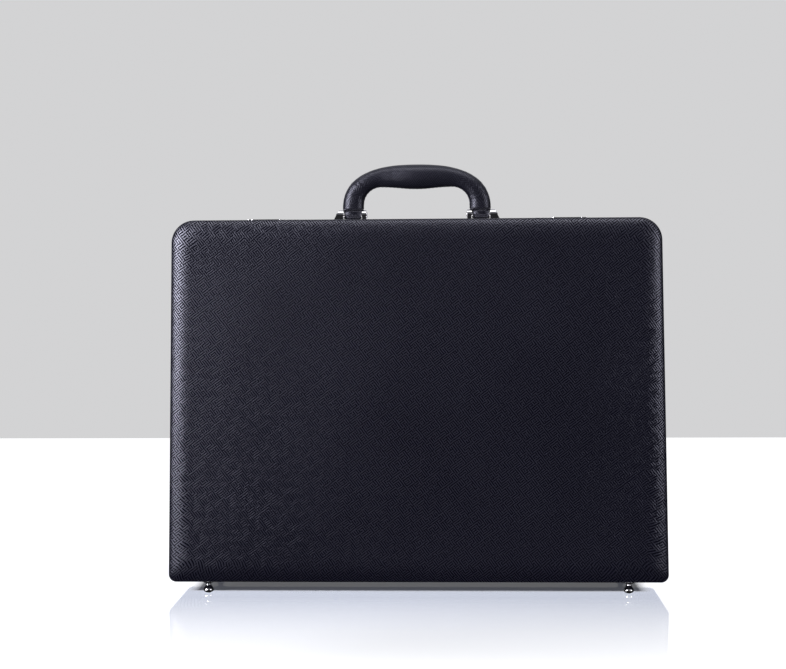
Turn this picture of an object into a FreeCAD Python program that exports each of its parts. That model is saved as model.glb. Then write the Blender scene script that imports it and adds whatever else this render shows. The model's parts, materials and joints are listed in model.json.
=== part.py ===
"""Hard attache case covered in leather, standing upright on its hinge side.

Two trays, a rear base and a front lid, meet at a parting plane and turn on a
piano hinge along the bottom. The base carries the handle, two combination
latches and the slotted guides of the lid stays. Millimetres, +Z up, X along
the width, -Y to the front, origin on the floor under the middle of the case.
"""
import FreeCAD
import Part
import math
import os

V = FreeCAD.Vector

# ---- Driving dimensions ----
BOTTOM_WIDTH = 450.0
TOP_WIDTH = 437.6
BODY_HEIGHT = 326.0
DEPTH = 104.0
LID_DEPTH = 42.0
FOOT_HEIGHT = 11.0
TOP_CORNER = 20.5
BOTTOM_CORNER = 6.8
EDGE_ROLL = 6.0
PARTING_GAP = 0.15

LEATHER = 1.2
PADDING = 2.8
SHELL = 4.0
LINING = 1.0

FRAME_BAND = 6.0
FRAME_DEPTH = 8.0
TONGUE_INSET = 4.0
TONGUE_THICK = 1.4
TONGUE_REACH = 5.0
TONGUE_PLAY = 0.6
TONGUE_BOTTOM = 42.0

HINGE_DROP = 2.8
KNUCKLE_RADIUS = 2.4
HINGE_PIN_RADIUS = 1.0
RUNNING_PLAY = 0.05
KNUCKLE_PITCH = 20.0
KNUCKLE_COUNT = 20
KNUCKLE_GAP = 0.4
LEAF_THICK = 0.8
LEAF_REACH = 16.0
LEAF_SETBACK = 2.2
HINGE_RIVETS = 8
HINGE_RIVET_PITCH = 50.0
HINGE_RIVET_SHANK = 1.2
HINGE_RIVET_HEAD = 2.3

FOOT_X = 190.0
FOOT_Y = 36.0
FOOT_COLLAR_RADIUS = 5.0
FOOT_COLLAR_THICK = 2.0
FOOT_RADIUS = 4.7
FOOT_SHANK_RADIUS = 2.3
FOOT_SCREW_RADIUS = 1.4
FOOT_SCREW_HEAD = (2.6, 1.3)

HANDLE_Y = 8.0
HANDLE_LEG_X = 59.2
HANDLE_PIVOT_RISE = 6.0
HANDLE_BAR_RISE = 41.2
HANDLE_BEND = 24.0
LEG_HALF_WIDTH = 9.5
LEG_HALF_DEPTH = 7.0
LEG_FOOT_RISE = 7.5
GRIP_SWELL = 11.3
SWELL_SHOULDER = (22.0, 9.6)
SWELL_END = (38.0, 6.9)
TAB_HALF_WIDTH = 8.3
TAB_HALF_DEPTH = 4.0
HANDLE_PIN_RADIUS = 2.0
CORE_RADIUS = 2.6
EYE_RADIUS = 3.4
EYE_HALF_WIDTH = 4.0
EAR_THICK = 3.8
EAR_FLARE = 8.4
EAR_RADIUS = 4.6
EAR_PLAY = 0.4
BRACKET_THICK = 1.2
BRACKET_HALF_WIDTH = 21.0
BRACKET_HALF_DEPTH = 10.0
BRACKET_RIVET_X = 15.0
BRACKET_RIVET_Y = 7.0
PIN_HEAD_RADIUS = 2.9
OUTER_PIN_HEAD = 3.2
INNER_PIN_HEAD = 0.9
PLATE_CORNER = 3.0

LOCK_X = 135.0
LOCK_PLATE_THICK = 1.2
LOCK_BODY_DEPTH = 13.0
LOCK_WALL = 1.2
LOCK_BODY_Y = (-1.4, 13.6)
LOCK_BODY_S = (-29.5, 33.5)
LOCK_PLATE_Y = (-9.5, 15.0)
LOCK_PLATE_S = (-33.0, 37.0)
WHEEL_RADIUS = 6.0
WHEEL_WIDTH = 4.4
WHEEL_PITCH = 6.2
WHEEL_FIRST_S = -23.4
WHEEL_PROUD = 2.2
WHEEL_Y = 6.1
WHEEL_SLOT_HALF = 5.3
WHEEL_SLOT_PLAY = 0.4
WHEEL_NUMBERS = 10
NOTCH_RADIUS = 0.9
AXLE_RADIUS = 1.4
AXLE_COLLAR_RADIUS = 2.4
AXLE_COLLAR_HALF = 0.55
PARTITION_S = -7.4
PARTITION_THICK = 1.0
HASP_S = (-5.5, 8.5)
HASP_PIVOT_Y = 5.0
HASP_TIP_Y = -21.0
HASP_THICK = 1.05
HASP_LIFT = 0.15
HASP_KNUCKLE_RADIUS = 1.9
HASP_PIN_RADIUS = 0.8
HASP_CORNER = 2.5
HASP_SIDE_PLAY = 0.5
BUTTON_S = (12.5, 21.5)
BUTTON_Y = (1.1, 11.1)
BUTTON_THICK = 0.95
BUTTON_LIFT = 0.15
BUTTON_TRAVEL = 4.0
BUTTON_GROOVES = 4
BUTTON_GROOVE_PITCH = 1.8
STEM_INSET_S = 2.5
STEM_INSET_Y = 3.0
STEM_PLAY = 0.4
FLANGE_BELOW_TOP = (3.0, 0.6)
SPRING_FOLDS = 6
SPRING_HALF_WIDTH = 2.2
SPRING_STRIP = 0.6
SPRING_BELOW_TOP = (2.6, 1.0)
LOCK_RIVET_INSET = 1.9
LOCK_RIVET_Y = (1.5, 11.5)
SMALL_RIVET_SHANK = 1.0
SMALL_RIVET_HEAD = 1.5
STRIKE_S = (-12.5, 15.5)
STRIKE_FRONT_Y = -27.0
STRIKE_SETBACK = 0.35
STRIKE_RIVET_S = (-9.2, 12.2)
STRIKE_RIVET_Y = -16.0

STAY_PIVOT = (12.0, 48.0)
STAY_LENGTH = 146.0
STAY_LEAN = 14.7
STAY_LEAN_RATE = 0.16
LID_OPEN_DEG = 95.0
STAY_ARM_X = (208.4, 209.9)
STAY_GUIDE_X = (210.2, 211.7)
STAY_PIN_RADIUS = 2.5
STAY_PIN_PLAY = 0.3
STAY_PIN_HEAD = 3.5
STAY_ARM_HALF = 4.5
STAY_EYE_RADIUS = 6.0
STAY_TIP_RADIUS = 5.5
GUIDE_RIM = 4.6
GUIDE_FOOT_RADIUS = 4.2
GUIDE_FOOT_BACK = 2.0
GUIDE_FOOT_BEYOND = 12.5
GUIDE_SCREW_RADIUS = 1.6
GUIDE_SCREW_HEAD = 3.2
STUD_RADIUS = 2.5
STUD_SHOULDER = 4.5
STUD_HEAD = 4.6

POCKET_X = (-188.0, 188.0)
POCKET_Z = (34.0, 262.0)
POCKET_DEPTH = 8.0
POCKET_BACK = 1.2
POCKET_FRONT = 1.8
POCKET_EDGE = 1.6
CARD_COLUMN_X = 62.0
CARD_HALF_WIDTH = 54.0
CARD_THICK = 1.8
CARD_BOTTOM_Z = 70.0
CARD_TOP_Z = 168.0
CARD_BOTTOM_STEP = 8.0
CARD_TOP_STEP = 26.0
PEN_LOOP_X = 140.0
PEN_LOOP_PITCH = 20.0
PEN_LOOP_HALF = 7.0
PEN_LOOP_DEPTH = 9.0
PEN_LOOP_Z = (190.0, 204.0)
PEN_HOLE_HALF = 5.5
PEN_LOOP_SKIN = 1.2

# ---- Values worked out from them ----
BOTTOM = FOOT_HEIGHT
TOP = FOOT_HEIGHT + BODY_HEIGHT
FRONT = -DEPTH / 2
BACK = DEPTH / 2
PARTING = FRONT + LID_DEPTH
LID_RIM = PARTING - PARTING_GAP
BASE_RIM = PARTING + PARTING_GAP
HINGE_Z = BOTTOM - HINGE_DROP
WALL = LEATHER + SHELL + LINING
FACE = LEATHER + PADDING + SHELL + LINING
FRAME_INSET = LEATHER + FRAME_BAND
PLATE_TOP = TOP + LOCK_PLATE_THICK
HANDLE_PIVOT_Z = TOP + HANDLE_PIVOT_RISE
HANDLE_BAR_Z = TOP + HANDLE_BAR_RISE
WHEEL_Z = TOP + WHEEL_PROUD - WHEEL_RADIUS
HASP_PIVOT_Z = TOP - 1.0

parts = {}


# ---- Shape helpers ----
def half_width(z):
    """Half the case's width at a height, before any inset."""
    share = (z - BOTTOM) / BODY_HEIGHT
    return (BOTTOM_WIDTH + (TOP_WIDTH - BOTTOM_WIDTH) * share) / 2


def rounded_wire(points, radii, y):
    """A closed XZ outline at depth y with a tangent arc at each corner."""
    count = len(points)
    edges = []
    ends = []
    for i in range(count):
        here = V(points[i][0], y, points[i][1])
        before = V(points[i - 1][0], y, points[i - 1][1]).sub(here).normalize()
        after = V(points[(i + 1) % count][0], y, points[(i + 1) % count][1])
        after = after.sub(here).normalize()
        half = before.getAngle(after) / 2
        run = radii[i] / math.tan(half)
        bisector = before.add(after).normalize()
        middle = here + bisector * (radii[i] / math.sin(half) - radii[i])
        start = here + before * run
        end = here + after * run
        ends.append((start, end))
        edges.append(Part.Arc(start, middle, end).toShape())
    for i in range(count):
        edges.append(Part.LineSegment(ends[i][1], ends[(i + 1) % count][0]).toShape())
    return Part.Wire(Part.__sortEdges__(edges))


def case_wire(inset, y):
    """The tapered case outline moved inwards by inset."""
    low = BOTTOM + inset
    high = TOP - inset
    wide = half_width(low) - inset
    narrow = half_width(high) - inset
    points = [(-wide, low), (wide, low), (narrow, high), (-narrow, high)]
    lower = max(BOTTOM_CORNER - inset, 2.0)
    upper = max(TOP_CORNER - inset, 2.0)
    return rounded_wire(points, [lower, lower, upper, upper], y)


def slab(inset, y_low, y_high):
    """A solid with the case outline between two depths."""
    return Part.Face(case_wire(inset, y_low)).extrude(V(0, y_high - y_low, 0))


def ring(outer, inner, y_first, y_second):
    """A band of the case outline between two insets and two depths."""
    low, high = sorted((y_first, y_second))
    return slab(outer, low, high).cut(slab(inner, low - 1, high + 1))


def rolled_slab(inset, face_y, rim_y, roll):
    """A slab from the rim to a face whose outer edge is rounded."""
    solid = slab(inset, min(face_y, rim_y), max(face_y, rim_y))
    outer = []
    for edge in solid.Edges:
        box = edge.BoundBox
        if abs(box.YMin - face_y) < 1e-4 and abs(box.YMax - face_y) < 1e-4:
            outer.append(edge)
    return solid.makeFillet(roll, outer)


def box(x, y, z):
    """A box between pairs of limits given in either order."""
    return Part.makeBox(
        abs(x[1] - x[0]), abs(y[1] - y[0]), abs(z[1] - z[0]),
        V(min(x), min(y), min(z)),
    )


def rod_x(radius, x, y, z):
    """A round bar along X between two limits."""
    return Part.makeCylinder(radius, abs(x[1] - x[0]), V(min(x), y, z), V(1, 0, 0))


def rod_z(radius, x, y, z):
    """A round bar along Z between two limits."""
    return Part.makeCylinder(radius, abs(z[1] - z[0]), V(x, y, min(z)), V(0, 0, 1))


def dome(radius, height, x, y, z, way):
    """A shallow round cap on a flat face at height z, bulging up or down."""
    ball = (radius * radius + height * height) / (2 * height)
    sphere = Part.makeSphere(ball, V(x, y, z + way * (height - ball)))
    return sphere.common(rod_z(radius, x, y, (z, z + way * height)))


def round_rivet(x, y, shank, head, face, end):
    """A rivet with a domed head on a face and its shank ending at a height."""
    way = 1 if face > end else -1
    return fused([rod_z(shank, x, y, (face, end)),
                  dome(head, head * 0.4, x, y, face, way)])


def round_edges(solid, radius, chosen):
    """Round the edges that a test picks out."""
    return solid.makeFillet(radius, [edge for edge in solid.Edges if chosen(edge)])


def upright(edge):
    """Whether an edge runs along Z."""
    box_ = edge.BoundBox
    return box_.XLength < 1e-4 and box_.YLength < 1e-4


def plate(x, y, z, corner):
    """A flat plate with rounded upright corners."""
    return round_edges(box(x, y, z), corner, upright)


def fused(shapes):
    """One solid from shapes that overlap."""
    first = shapes[0]
    return first.fuse(shapes[1:]).removeSplitter()


def cut_from(names, tools):
    """Cut holes for the given tools in the named parts."""
    for name in names:
        parts[name] = parts[name].cut(tools)


def across(side, pair):
    """Turn limits measured outwards from a lock's middle into X limits."""
    return (side * (LOCK_X + pair[0]), side * (LOCK_X + pair[1]))


def sides():
    """The two mirrored sides, by name and sign of X."""
    return (("left", -1), ("right", 1))


# ---- The two trays ----
def make_tray(name, face_y, rim_y):
    """Leather cover, padding, moulded shell, lining and frame of one half."""
    out = 1 if face_y > rim_y else -1

    def at(depth):
        return face_y - out * depth

    frame_end = rim_y + out * FRAME_DEPTH
    skin = rolled_slab(0, face_y, rim_y, EDGE_ROLL)
    under_skin = rolled_slab(LEATHER, at(LEATHER), rim_y, EDGE_ROLL - LEATHER)
    parts[name + "_cover"] = skin.cut(under_skin)
    shell_face = at(LEATHER + PADDING)
    shell_outer = rolled_slab(LEATHER, shell_face, rim_y, EDGE_ROLL - LEATHER)
    parts[name + "_padding"] = under_skin.cut(shell_outer)
    shell_inner = slab(LEATHER + SHELL, at(LEATHER + PADDING + SHELL), rim_y)
    shell = shell_outer.cut(shell_inner)
    parts[name + "_shell"] = shell.cut(ring(0, FRAME_INSET, frame_end, rim_y))
    lining_outer = slab(LEATHER + SHELL, at(FACE - LINING), frame_end)
    lining_inner = slab(WALL, at(FACE), rim_y)
    parts[name + "_lining"] = lining_outer.cut(lining_inner)
    parts[name + "_frame"] = ring(LEATHER, FRAME_INSET, frame_end, rim_y)


def make_tongue():
    """The base frame's tongue, which enters a groove in the lid's frame."""
    reach = (LID_RIM - TONGUE_REACH, BASE_RIM + 1)
    tongue = ring(TONGUE_INSET, TONGUE_INSET + TONGUE_THICK, *reach)
    clear_hinge = box((-300, 300), (-60, 60), (0, TONGUE_BOTTOM))
    parts["base_frame"] = fused([parts["base_frame"], tongue.cut(clear_hinge)])
    groove = ring(
        TONGUE_INSET - TONGUE_PLAY, TONGUE_INSET + TONGUE_THICK + TONGUE_PLAY,
        reach[0] - TONGUE_PLAY, LID_RIM + 1,
    )
    below = box((-300, 300), (-60, 60), (0, TONGUE_BOTTOM - 6))
    cut_from(["lid_frame"], [groove.cut(below)])


# ---- Hinge ----
def knuckle_span(index):
    """X limits of one knuckle of the piano hinge."""
    start = (index - KNUCKLE_COUNT / 2) * KNUCKLE_PITCH
    return (start + KNUCKLE_GAP / 2, start + KNUCKLE_PITCH - KNUCKLE_GAP / 2)


def make_hinge():
    """Two leaves with alternating knuckles on one long pin."""
    half = KNUCKLE_COUNT * KNUCKLE_PITCH / 2
    leaf_z = (BOTTOM - LEAF_THICK, BOTTOM)
    for name, out, first in (("base", 1, 0), ("lid", -1, 1)):
        reach = (PARTING + out * LEAF_SETBACK, PARTING + out * LEAF_REACH)
        pieces = [box((-half, half), reach, leaf_z)]
        for index in range(first, KNUCKLE_COUNT, 2):
            span = knuckle_span(index)
            web = box(span, (PARTING, PARTING + out * (LEAF_SETBACK + 1)), leaf_z)
            pieces.append(web)
            pieces.append(rod_x(KNUCKLE_RADIUS, span, PARTING, HINGE_Z))
        bore = HINGE_PIN_RADIUS + (RUNNING_PLAY if name == "lid" else 0)
        hole = rod_x(bore, (-half - 1, half + 1), PARTING, HINGE_Z)
        parts[name + "_hinge_leaf"] = fused(pieces).cut(hole)
    parts["hinge_pin"] = rod_x(HINGE_PIN_RADIUS, (-half, half), PARTING, HINGE_Z)


def make_hinge_rivets(name, out):
    """A row of domed rivets through a hinge leaf into the shell."""
    y = PARTING + out * (LEAF_SETBACK + LEAF_REACH) / 2
    rivets = []
    for index in range(HINGE_RIVETS):
        x = (index - (HINGE_RIVETS - 1) / 2) * HINGE_RIVET_PITCH
        rivets.append(round_rivet(x, y, HINGE_RIVET_SHANK, HINGE_RIVET_HEAD,
                                  BOTTOM - LEAF_THICK, BOTTOM + LEATHER + SHELL))
    hosts = ["_hinge_leaf", "_cover", "_shell", "_frame"]
    cut_from([name + host for host in hosts], rivets)
    parts[name + "_hinge_rivets"] = Part.makeCompound(rivets)


# ---- Feet ----
def foot_stud(x, y):
    """A bell-shaped foot under a collar, with its shank through the wall."""
    r = FOOT_RADIUS
    rise = BOTTOM - FOOT_COLLAR_THICK
    bell = Part.BSplineCurve()
    bell.interpolate([V(0, 0, 0), V(0.65 * r, 0, 0.35), V(r, 0, 2.4),
                      V(0.74 * r, 0, 5.0), V(0.53 * r, 0, rise)])
    closing = Part.makePolygon([bell.EndPoint, V(0, 0, rise), V(0, 0, 0)])
    face = Part.Face(Part.Wire([bell.toShape()] + closing.Edges))
    foot = face.revolve(V(0, 0, 0), V(0, 0, 1), 360).translated(V(x, y, 0))
    shank = rod_z(FOOT_SHANK_RADIUS, x, y, (rise - 1, BOTTOM + LEATHER + SHELL))
    collar = rod_z(FOOT_COLLAR_RADIUS, x, y, (rise, BOTTOM))
    collar = round_edges(collar, 0.9, lambda e: e.BoundBox.ZMax < BOTTOM - 0.1)
    return fused([foot, shank, collar])


def make_feet(name, y):
    """Two chrome studs, each held by a screw from inside the case."""
    inside = BOTTOM + WALL
    screws = []
    for side, sign in sides():
        x = sign * FOOT_X
        foot = foot_stud(x, y)
        screw = fused([rod_z(FOOT_SCREW_RADIUS, x, y, (BOTTOM - 1, inside + 0.1)),
                       dome(*FOOT_SCREW_HEAD, x, y, inside, 1)])
        screws.append(screw)
        cut_from([name + "_cover", name + "_shell"], [foot])
        cut_from([name + "_lining"], [screw])
        parts[name + "_foot_" + side] = foot.cut(screw)
    parts[name + "_foot_screws"] = Part.makeCompound(screws)


# ---- Handle ----
def handle_path(leg_end_z):
    """Centre line of the handle: leg, bend, bar, bend, leg."""
    x = HANDLE_LEG_X
    y = HANDLE_Y
    bar = HANDLE_BAR_Z
    r = HANDLE_BEND
    slant = r * (1 - math.sqrt(0.5))
    left = [V(-x, y, leg_end_z), V(-x, y, bar - r), V(-x + slant, y, bar - slant),
            V(-x + r, y, bar)]
    right = [V(-p.x, p.y, p.z) for p in reversed(left)]
    return Part.Wire([
        Part.LineSegment(left[0], left[1]).toShape(),
        Part.Arc(left[1], left[2], left[3]).toShape(),
        Part.LineSegment(left[3], right[0]).toShape(),
        Part.Arc(right[0], right[1], right[2]).toShape(),
        Part.LineSegment(right[2], right[3]).toShape(),
    ])


def pipe(radius_x, radius_y, leg_end_z):
    """The handle path swept with an oval section."""
    centre = V(-HANDLE_LEG_X, HANDLE_Y, leg_end_z)
    major = centre + V(radius_x, 0, 0)
    minor = centre + V(0, radius_y, 0)
    oval = Part.Wire([Part.Ellipse(major, minor, centre).toShape()]) \
        if radius_x != radius_y else \
        Part.Wire([Part.Circle(centre, V(0, 0, 1), radius_x).toShape()])
    return handle_path(leg_end_z).makePipeShell([oval], True, False)


def grip_swell():
    """The thicker palm part in the middle of the grip, turned about X."""
    half = [SWELL_END, SWELL_SHOULDER]
    left = [V(-reach, 0, radius) for reach, radius in half]
    right = [V(reach, 0, radius) for reach, radius in reversed(half)]
    profile = left + [V(0, 0, GRIP_SWELL)] + right
    curve = Part.BSplineCurve()
    curve.interpolate(profile)
    reach = SWELL_END[0]
    closing = Part.makePolygon([profile[-1], V(reach, 0, 0), V(-reach, 0, 0), profile[0]])
    face = Part.Face(Part.Wire([curve.toShape()] + closing.Edges))
    swell = face.revolve(V(0, 0, 0), V(1, 0, 0), 360)
    return swell.translated(V(0, HANDLE_Y, HANDLE_BAR_Z))


def make_handle():
    """Leather grip over a steel bar that ends in two pivot eyes."""
    leg_foot = HANDLE_PIVOT_Z + LEG_FOOT_RISE
    eyes = []
    tabs = []
    bores = []
    for _, sign in sides():
        x = sign * HANDLE_LEG_X
        inner = (x - EYE_HALF_WIDTH, x + EYE_HALF_WIDTH)
        eyes.append(rod_x(EYE_RADIUS, inner, HANDLE_Y, HANDLE_PIVOT_Z))
        outer = (x - TAB_HALF_WIDTH, x + TAB_HALF_WIDTH)
        cheek = rod_x(TAB_HALF_DEPTH, outer, HANDLE_Y, HANDLE_PIVOT_Z)
        depth = (HANDLE_Y - TAB_HALF_DEPTH, HANDLE_Y + TAB_HALF_DEPTH)
        upper = box(outer, depth, (HANDLE_PIVOT_Z, leg_foot + 3))
        tabs.append(fused([cheek, upper]))
        bores.append(rod_x(HANDLE_PIN_RADIUS + RUNNING_PLAY, (x - 30, x + 30),
                           HANDLE_Y, HANDLE_PIVOT_Z))
    bar = pipe(CORE_RADIUS, CORE_RADIUS, HANDLE_PIVOT_Z)
    core = fused([bar] + eyes)
    grip = fused([pipe(LEG_HALF_WIDTH, LEG_HALF_DEPTH, leg_foot), grip_swell()] + tabs)
    parts["handle_core"] = core.cut(bores)
    parts["handle_grip"] = grip.cut(core).cut(bores)


def bracket_ear(x, way, flare):
    """One ear of a clevis: upright inside, flared outside, round on top."""
    inner = x + way * (TAB_HALF_WIDTH + EAR_PLAY)
    crest = inner + way * EAR_THICK
    foot = inner + way * flare
    crown = HANDLE_PIVOT_Z + EAR_RADIUS
    front = HANDLE_Y - EAR_RADIUS
    corners = [V(inner, front, TOP), V(inner, front, crown), V(crest, front, crown),
               V(foot, front, TOP + BRACKET_THICK + 1), V(foot, front, TOP)]
    wedge = Part.Face(Part.makePolygon(corners + corners[:1]))
    wedge = wedge.extrude(V(0, 2 * EAR_RADIUS, 0))
    span = (inner, foot)
    outline = rod_x(EAR_RADIUS, span, HANDLE_Y, HANDLE_PIVOT_Z).fuse(
        box(span, (front, front + 2 * EAR_RADIUS), (TOP, HANDLE_PIVOT_Z)))
    return wedge.common(outline).removeSplitter()


def pin_head(face, way, thick):
    """A domed end of a pivot pin, standing out from a face along X."""
    head = rod_x(PIN_HEAD_RADIUS, (face, face + way * thick), HANDLE_Y,
                 HANDLE_PIVOT_Z)
    outer = face + way * thick
    return round_edges(head, thick * 0.85, lambda e: abs(e.BoundBox.XMin - outer) < 1e-4
                       and e.BoundBox.XLength < 1e-4)


def make_handle_brackets():
    """A chrome clevis at each end of the handle, its pin and its rivets."""
    rivets = []
    ear_in = TAB_HALF_WIDTH + EAR_PLAY
    for side, sign in sides():
        x = sign * HANDLE_LEG_X
        base = plate((x - BRACKET_HALF_WIDTH, x + BRACKET_HALF_WIDTH),
                     (HANDLE_Y - BRACKET_HALF_DEPTH, HANDLE_Y + BRACKET_HALF_DEPTH),
                     (TOP, TOP + BRACKET_THICK), PLATE_CORNER)
        outer_ear = bracket_ear(x, sign, EAR_FLARE)
        inner_ear = bracket_ear(x, -sign, EAR_THICK)
        pin_hole = rod_x(HANDLE_PIN_RADIUS, (x - 30, x + 30), HANDLE_Y, HANDLE_PIVOT_Z)
        shank_end = ear_in + EAR_THICK
        shank = rod_x(HANDLE_PIN_RADIUS, (x - shank_end, x + shank_end), HANDLE_Y,
                      HANDLE_PIVOT_Z)
        bedded = 0.2
        heads = [pin_head(x + sign * (shank_end - bedded), sign, OUTER_PIN_HEAD + bedded),
                 pin_head(x - sign * shank_end, -sign, INNER_PIN_HEAD)]
        pin = fused([shank] + heads)
        bracket = fused([base, outer_ear, inner_ear]).cut([pin_hole, pin])
        parts["handle_bracket_" + side] = bracket
        parts["handle_pin_" + side] = pin
        for dx in (-BRACKET_RIVET_X, BRACKET_RIVET_X):
            for dy in (-BRACKET_RIVET_Y, BRACKET_RIVET_Y):
                rivets.append(round_rivet(x + dx, HANDLE_Y + dy, 1.3, 2.0,
                                          TOP + BRACKET_THICK, TOP - LEATHER - SHELL))
    hosts = ["handle_bracket_left", "handle_bracket_right", "base_cover",
             "base_shell", "base_frame"]
    cut_from(hosts, rivets)
    parts["bracket_rivets"] = Part.makeCompound(rivets)


# ---- Combination latches ----
def wheel_middle(index):
    """Distance of a number wheel from the lock's middle, outwards."""
    return WHEEL_FIRST_S + index * WHEEL_PITCH


def make_lock(side, sign):
    """Plate, body, axle, number wheels, slide button and hasp of one latch."""
    def span(pair):
        return across(sign, pair)

    floor = TOP - LOCK_BODY_DEPTH
    outer = box(span(LOCK_BODY_S), LOCK_BODY_Y, (floor, TOP))
    hollow_s = (LOCK_BODY_S[0] + LOCK_WALL, LOCK_BODY_S[1] - LOCK_WALL)
    hollow_y = (LOCK_BODY_Y[0] + LOCK_WALL, LOCK_BODY_Y[1] - LOCK_WALL)
    hollow = box(span(hollow_s), hollow_y, (floor + LOCK_WALL, TOP + 1))
    wall_s = (PARTITION_S, PARTITION_S + PARTITION_THICK)
    wall = box(span(wall_s), hollow_y, (floor + 1, TOP))
    axle_s = (LOCK_BODY_S[0], wall_s[1])
    axle = [rod_x(AXLE_RADIUS, span(axle_s), WHEEL_Y, WHEEL_Z)]
    for index in range(2):
        middle = wheel_middle(index) + WHEEL_PITCH / 2
        collar = (middle - AXLE_COLLAR_HALF, middle + AXLE_COLLAR_HALF)
        axle.append(rod_x(AXLE_COLLAR_RADIUS, span(collar), WHEEL_Y, WHEEL_Z))
    axle_solid = fused(axle)
    parts["wheel_axle_" + side] = axle_solid
    parts["lock_body_" + side] = fused([outer.cut(hollow), wall]).cut(axle_solid)

    cover = plate(span(LOCK_PLATE_S), LOCK_PLATE_Y, (TOP, PLATE_TOP), PLATE_CORNER)
    openings = []
    for index in range(3):
        middle = wheel_middle(index)
        half = WHEEL_WIDTH / 2 + WHEEL_SLOT_PLAY
        openings.append(box(span((middle - half, middle + half)),
                            (WHEEL_Y - WHEEL_SLOT_HALF, WHEEL_Y + WHEEL_SLOT_HALF),
                            (TOP - 1, PLATE_TOP + 1)))
    hasp_gap = (HASP_S[0] - HASP_SIDE_PLAY, HASP_S[1] + HASP_SIDE_PLAY)
    openings.append(box(span(hasp_gap), (LOCK_PLATE_Y[0] - 1, HASP_PIVOT_Y + 2.6),
                        (TOP - 1, PLATE_TOP + 1)))
    stem = (BUTTON_S[0] + STEM_INSET_S, BUTTON_S[1] - STEM_INSET_S)
    stem_y = (BUTTON_Y[0] + STEM_INSET_Y, BUTTON_Y[1] - STEM_INSET_Y)
    openings.append(box(span((stem[0] - STEM_PLAY, stem[1] + BUTTON_TRAVEL + STEM_PLAY)),
                        (stem_y[0] - STEM_PLAY, stem_y[1] + STEM_PLAY),
                        (TOP - 1, PLATE_TOP + 1)))
    parts["lock_plate_" + side] = cover.cut(openings)
    for index in range(3):
        make_wheel(side, sign, index)
    make_button(side, span, stem, stem_y)
    make_hasp(side, span)
    room = box(span(LOCK_BODY_S), LOCK_BODY_Y, (floor, TOP + 1))
    cut_from(["base_cover", "base_shell", "base_lining"], [room])


def make_wheel(side, sign, index):
    """A ten-sided number wheel with finger notches between its faces."""
    middle = wheel_middle(index)
    span = across(sign, (middle - WHEEL_WIDTH / 2, middle + WHEEL_WIDTH / 2))
    disc = rod_x(WHEEL_RADIUS, span, WHEEL_Y, WHEEL_Z)
    notches = []
    centre_out = WHEEL_RADIUS + 0.35
    for step in range(WHEEL_NUMBERS):
        angle = 2 * math.pi * (step + 0.5) / WHEEL_NUMBERS
        y = WHEEL_Y + centre_out * math.sin(angle)
        z = WHEEL_Z + centre_out * math.cos(angle)
        notches.append(rod_x(NOTCH_RADIUS, (span[0] - sign, span[1] + sign), y, z))
    bore = rod_x(AXLE_RADIUS + RUNNING_PLAY, (span[0] - sign, span[1] + sign),
                 WHEEL_Y, WHEEL_Z)
    number = index + 1
    parts["number_wheel_%s_%d" % (side, number)] = disc.cut(notches + [bore])


def make_button(side, span, stem, stem_y):
    """A ridged slide button with a stem and a flange under the lock plate."""
    low = PLATE_TOP + BUTTON_LIFT
    cap = plate(span(BUTTON_S), BUTTON_Y, (low, low + BUTTON_THICK), 1)
    grooves = []
    groove_half = 0.3
    groove_z = (low + 0.6, low + 2)
    for index in range(BUTTON_GROOVES):
        middle = BUTTON_S[0] + (index + 1) * BUTTON_GROOVE_PITCH
        grooves.append(box(span((middle - groove_half, middle + groove_half)),
                           (BUTTON_Y[0] + 1, BUTTON_Y[1] - 1), groove_z))
    neck = box(span(stem), stem_y, (TOP - 2, low + 0.1))
    margin = 0.6
    flange = box(span((BUTTON_S[0], BUTTON_S[1] - 0.5)),
                 (BUTTON_Y[0] + margin, BUTTON_Y[1] - margin),
                 (TOP - FLANGE_BELOW_TOP[0], TOP - FLANGE_BELOW_TOP[1]))
    parts["slide_button_" + side] = fused([cap, neck, flange]).cut(grooves)


def make_hasp(side, span):
    """A flat hasp over the parting line, with its knuckle on a cross pin."""
    low = TOP + HASP_LIFT
    blade = plate(span(HASP_S), (HASP_TIP_Y, HASP_PIVOT_Y), (low, low + HASP_THICK),
                  HASP_CORNER)
    knuckle = rod_x(HASP_KNUCKLE_RADIUS, span(HASP_S), HASP_PIVOT_Y, HASP_PIVOT_Z)
    root = box(span(HASP_S), (HASP_PIVOT_Y - 2.4, HASP_PIVOT_Y), (low, low + HASP_THICK))
    lug = box(span((HASP_S[0] + 3, HASP_S[1] - 3)), (HASP_PIVOT_Y - 1.2, HASP_PIVOT_Y),
              (HASP_PIVOT_Z, low + 0.5))
    hole = rod_x(HASP_PIN_RADIUS + RUNNING_PLAY, span((-60, 60)), HASP_PIVOT_Y,
                 HASP_PIVOT_Z)
    parts["hasp_" + side] = fused([blade, root, lug, knuckle]).cut(hole)


def make_hasp_pins():
    """Cross pins between the lock body's partition and a far bracket wall."""
    pins = []
    for side, sign in sides():
        far = HASP_S[1] + HASP_SIDE_PLAY
        bracket = box(across(sign, (far, far + 1)),
                      (LOCK_BODY_Y[0] + 1, LOCK_BODY_Y[1] - 1),
                      (TOP - LOCK_BODY_DEPTH + 1, TOP))
        pin = rod_x(HASP_PIN_RADIUS, across(sign, (PARTITION_S, far + 1)),
                    HASP_PIVOT_Y, HASP_PIVOT_Z)
        body = parts["lock_body_" + side]
        parts["lock_body_" + side] = fused([body, bracket]).cut(pin)
        pins.append(pin)
    parts["hasp_pins"] = Part.makeCompound(pins)


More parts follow.
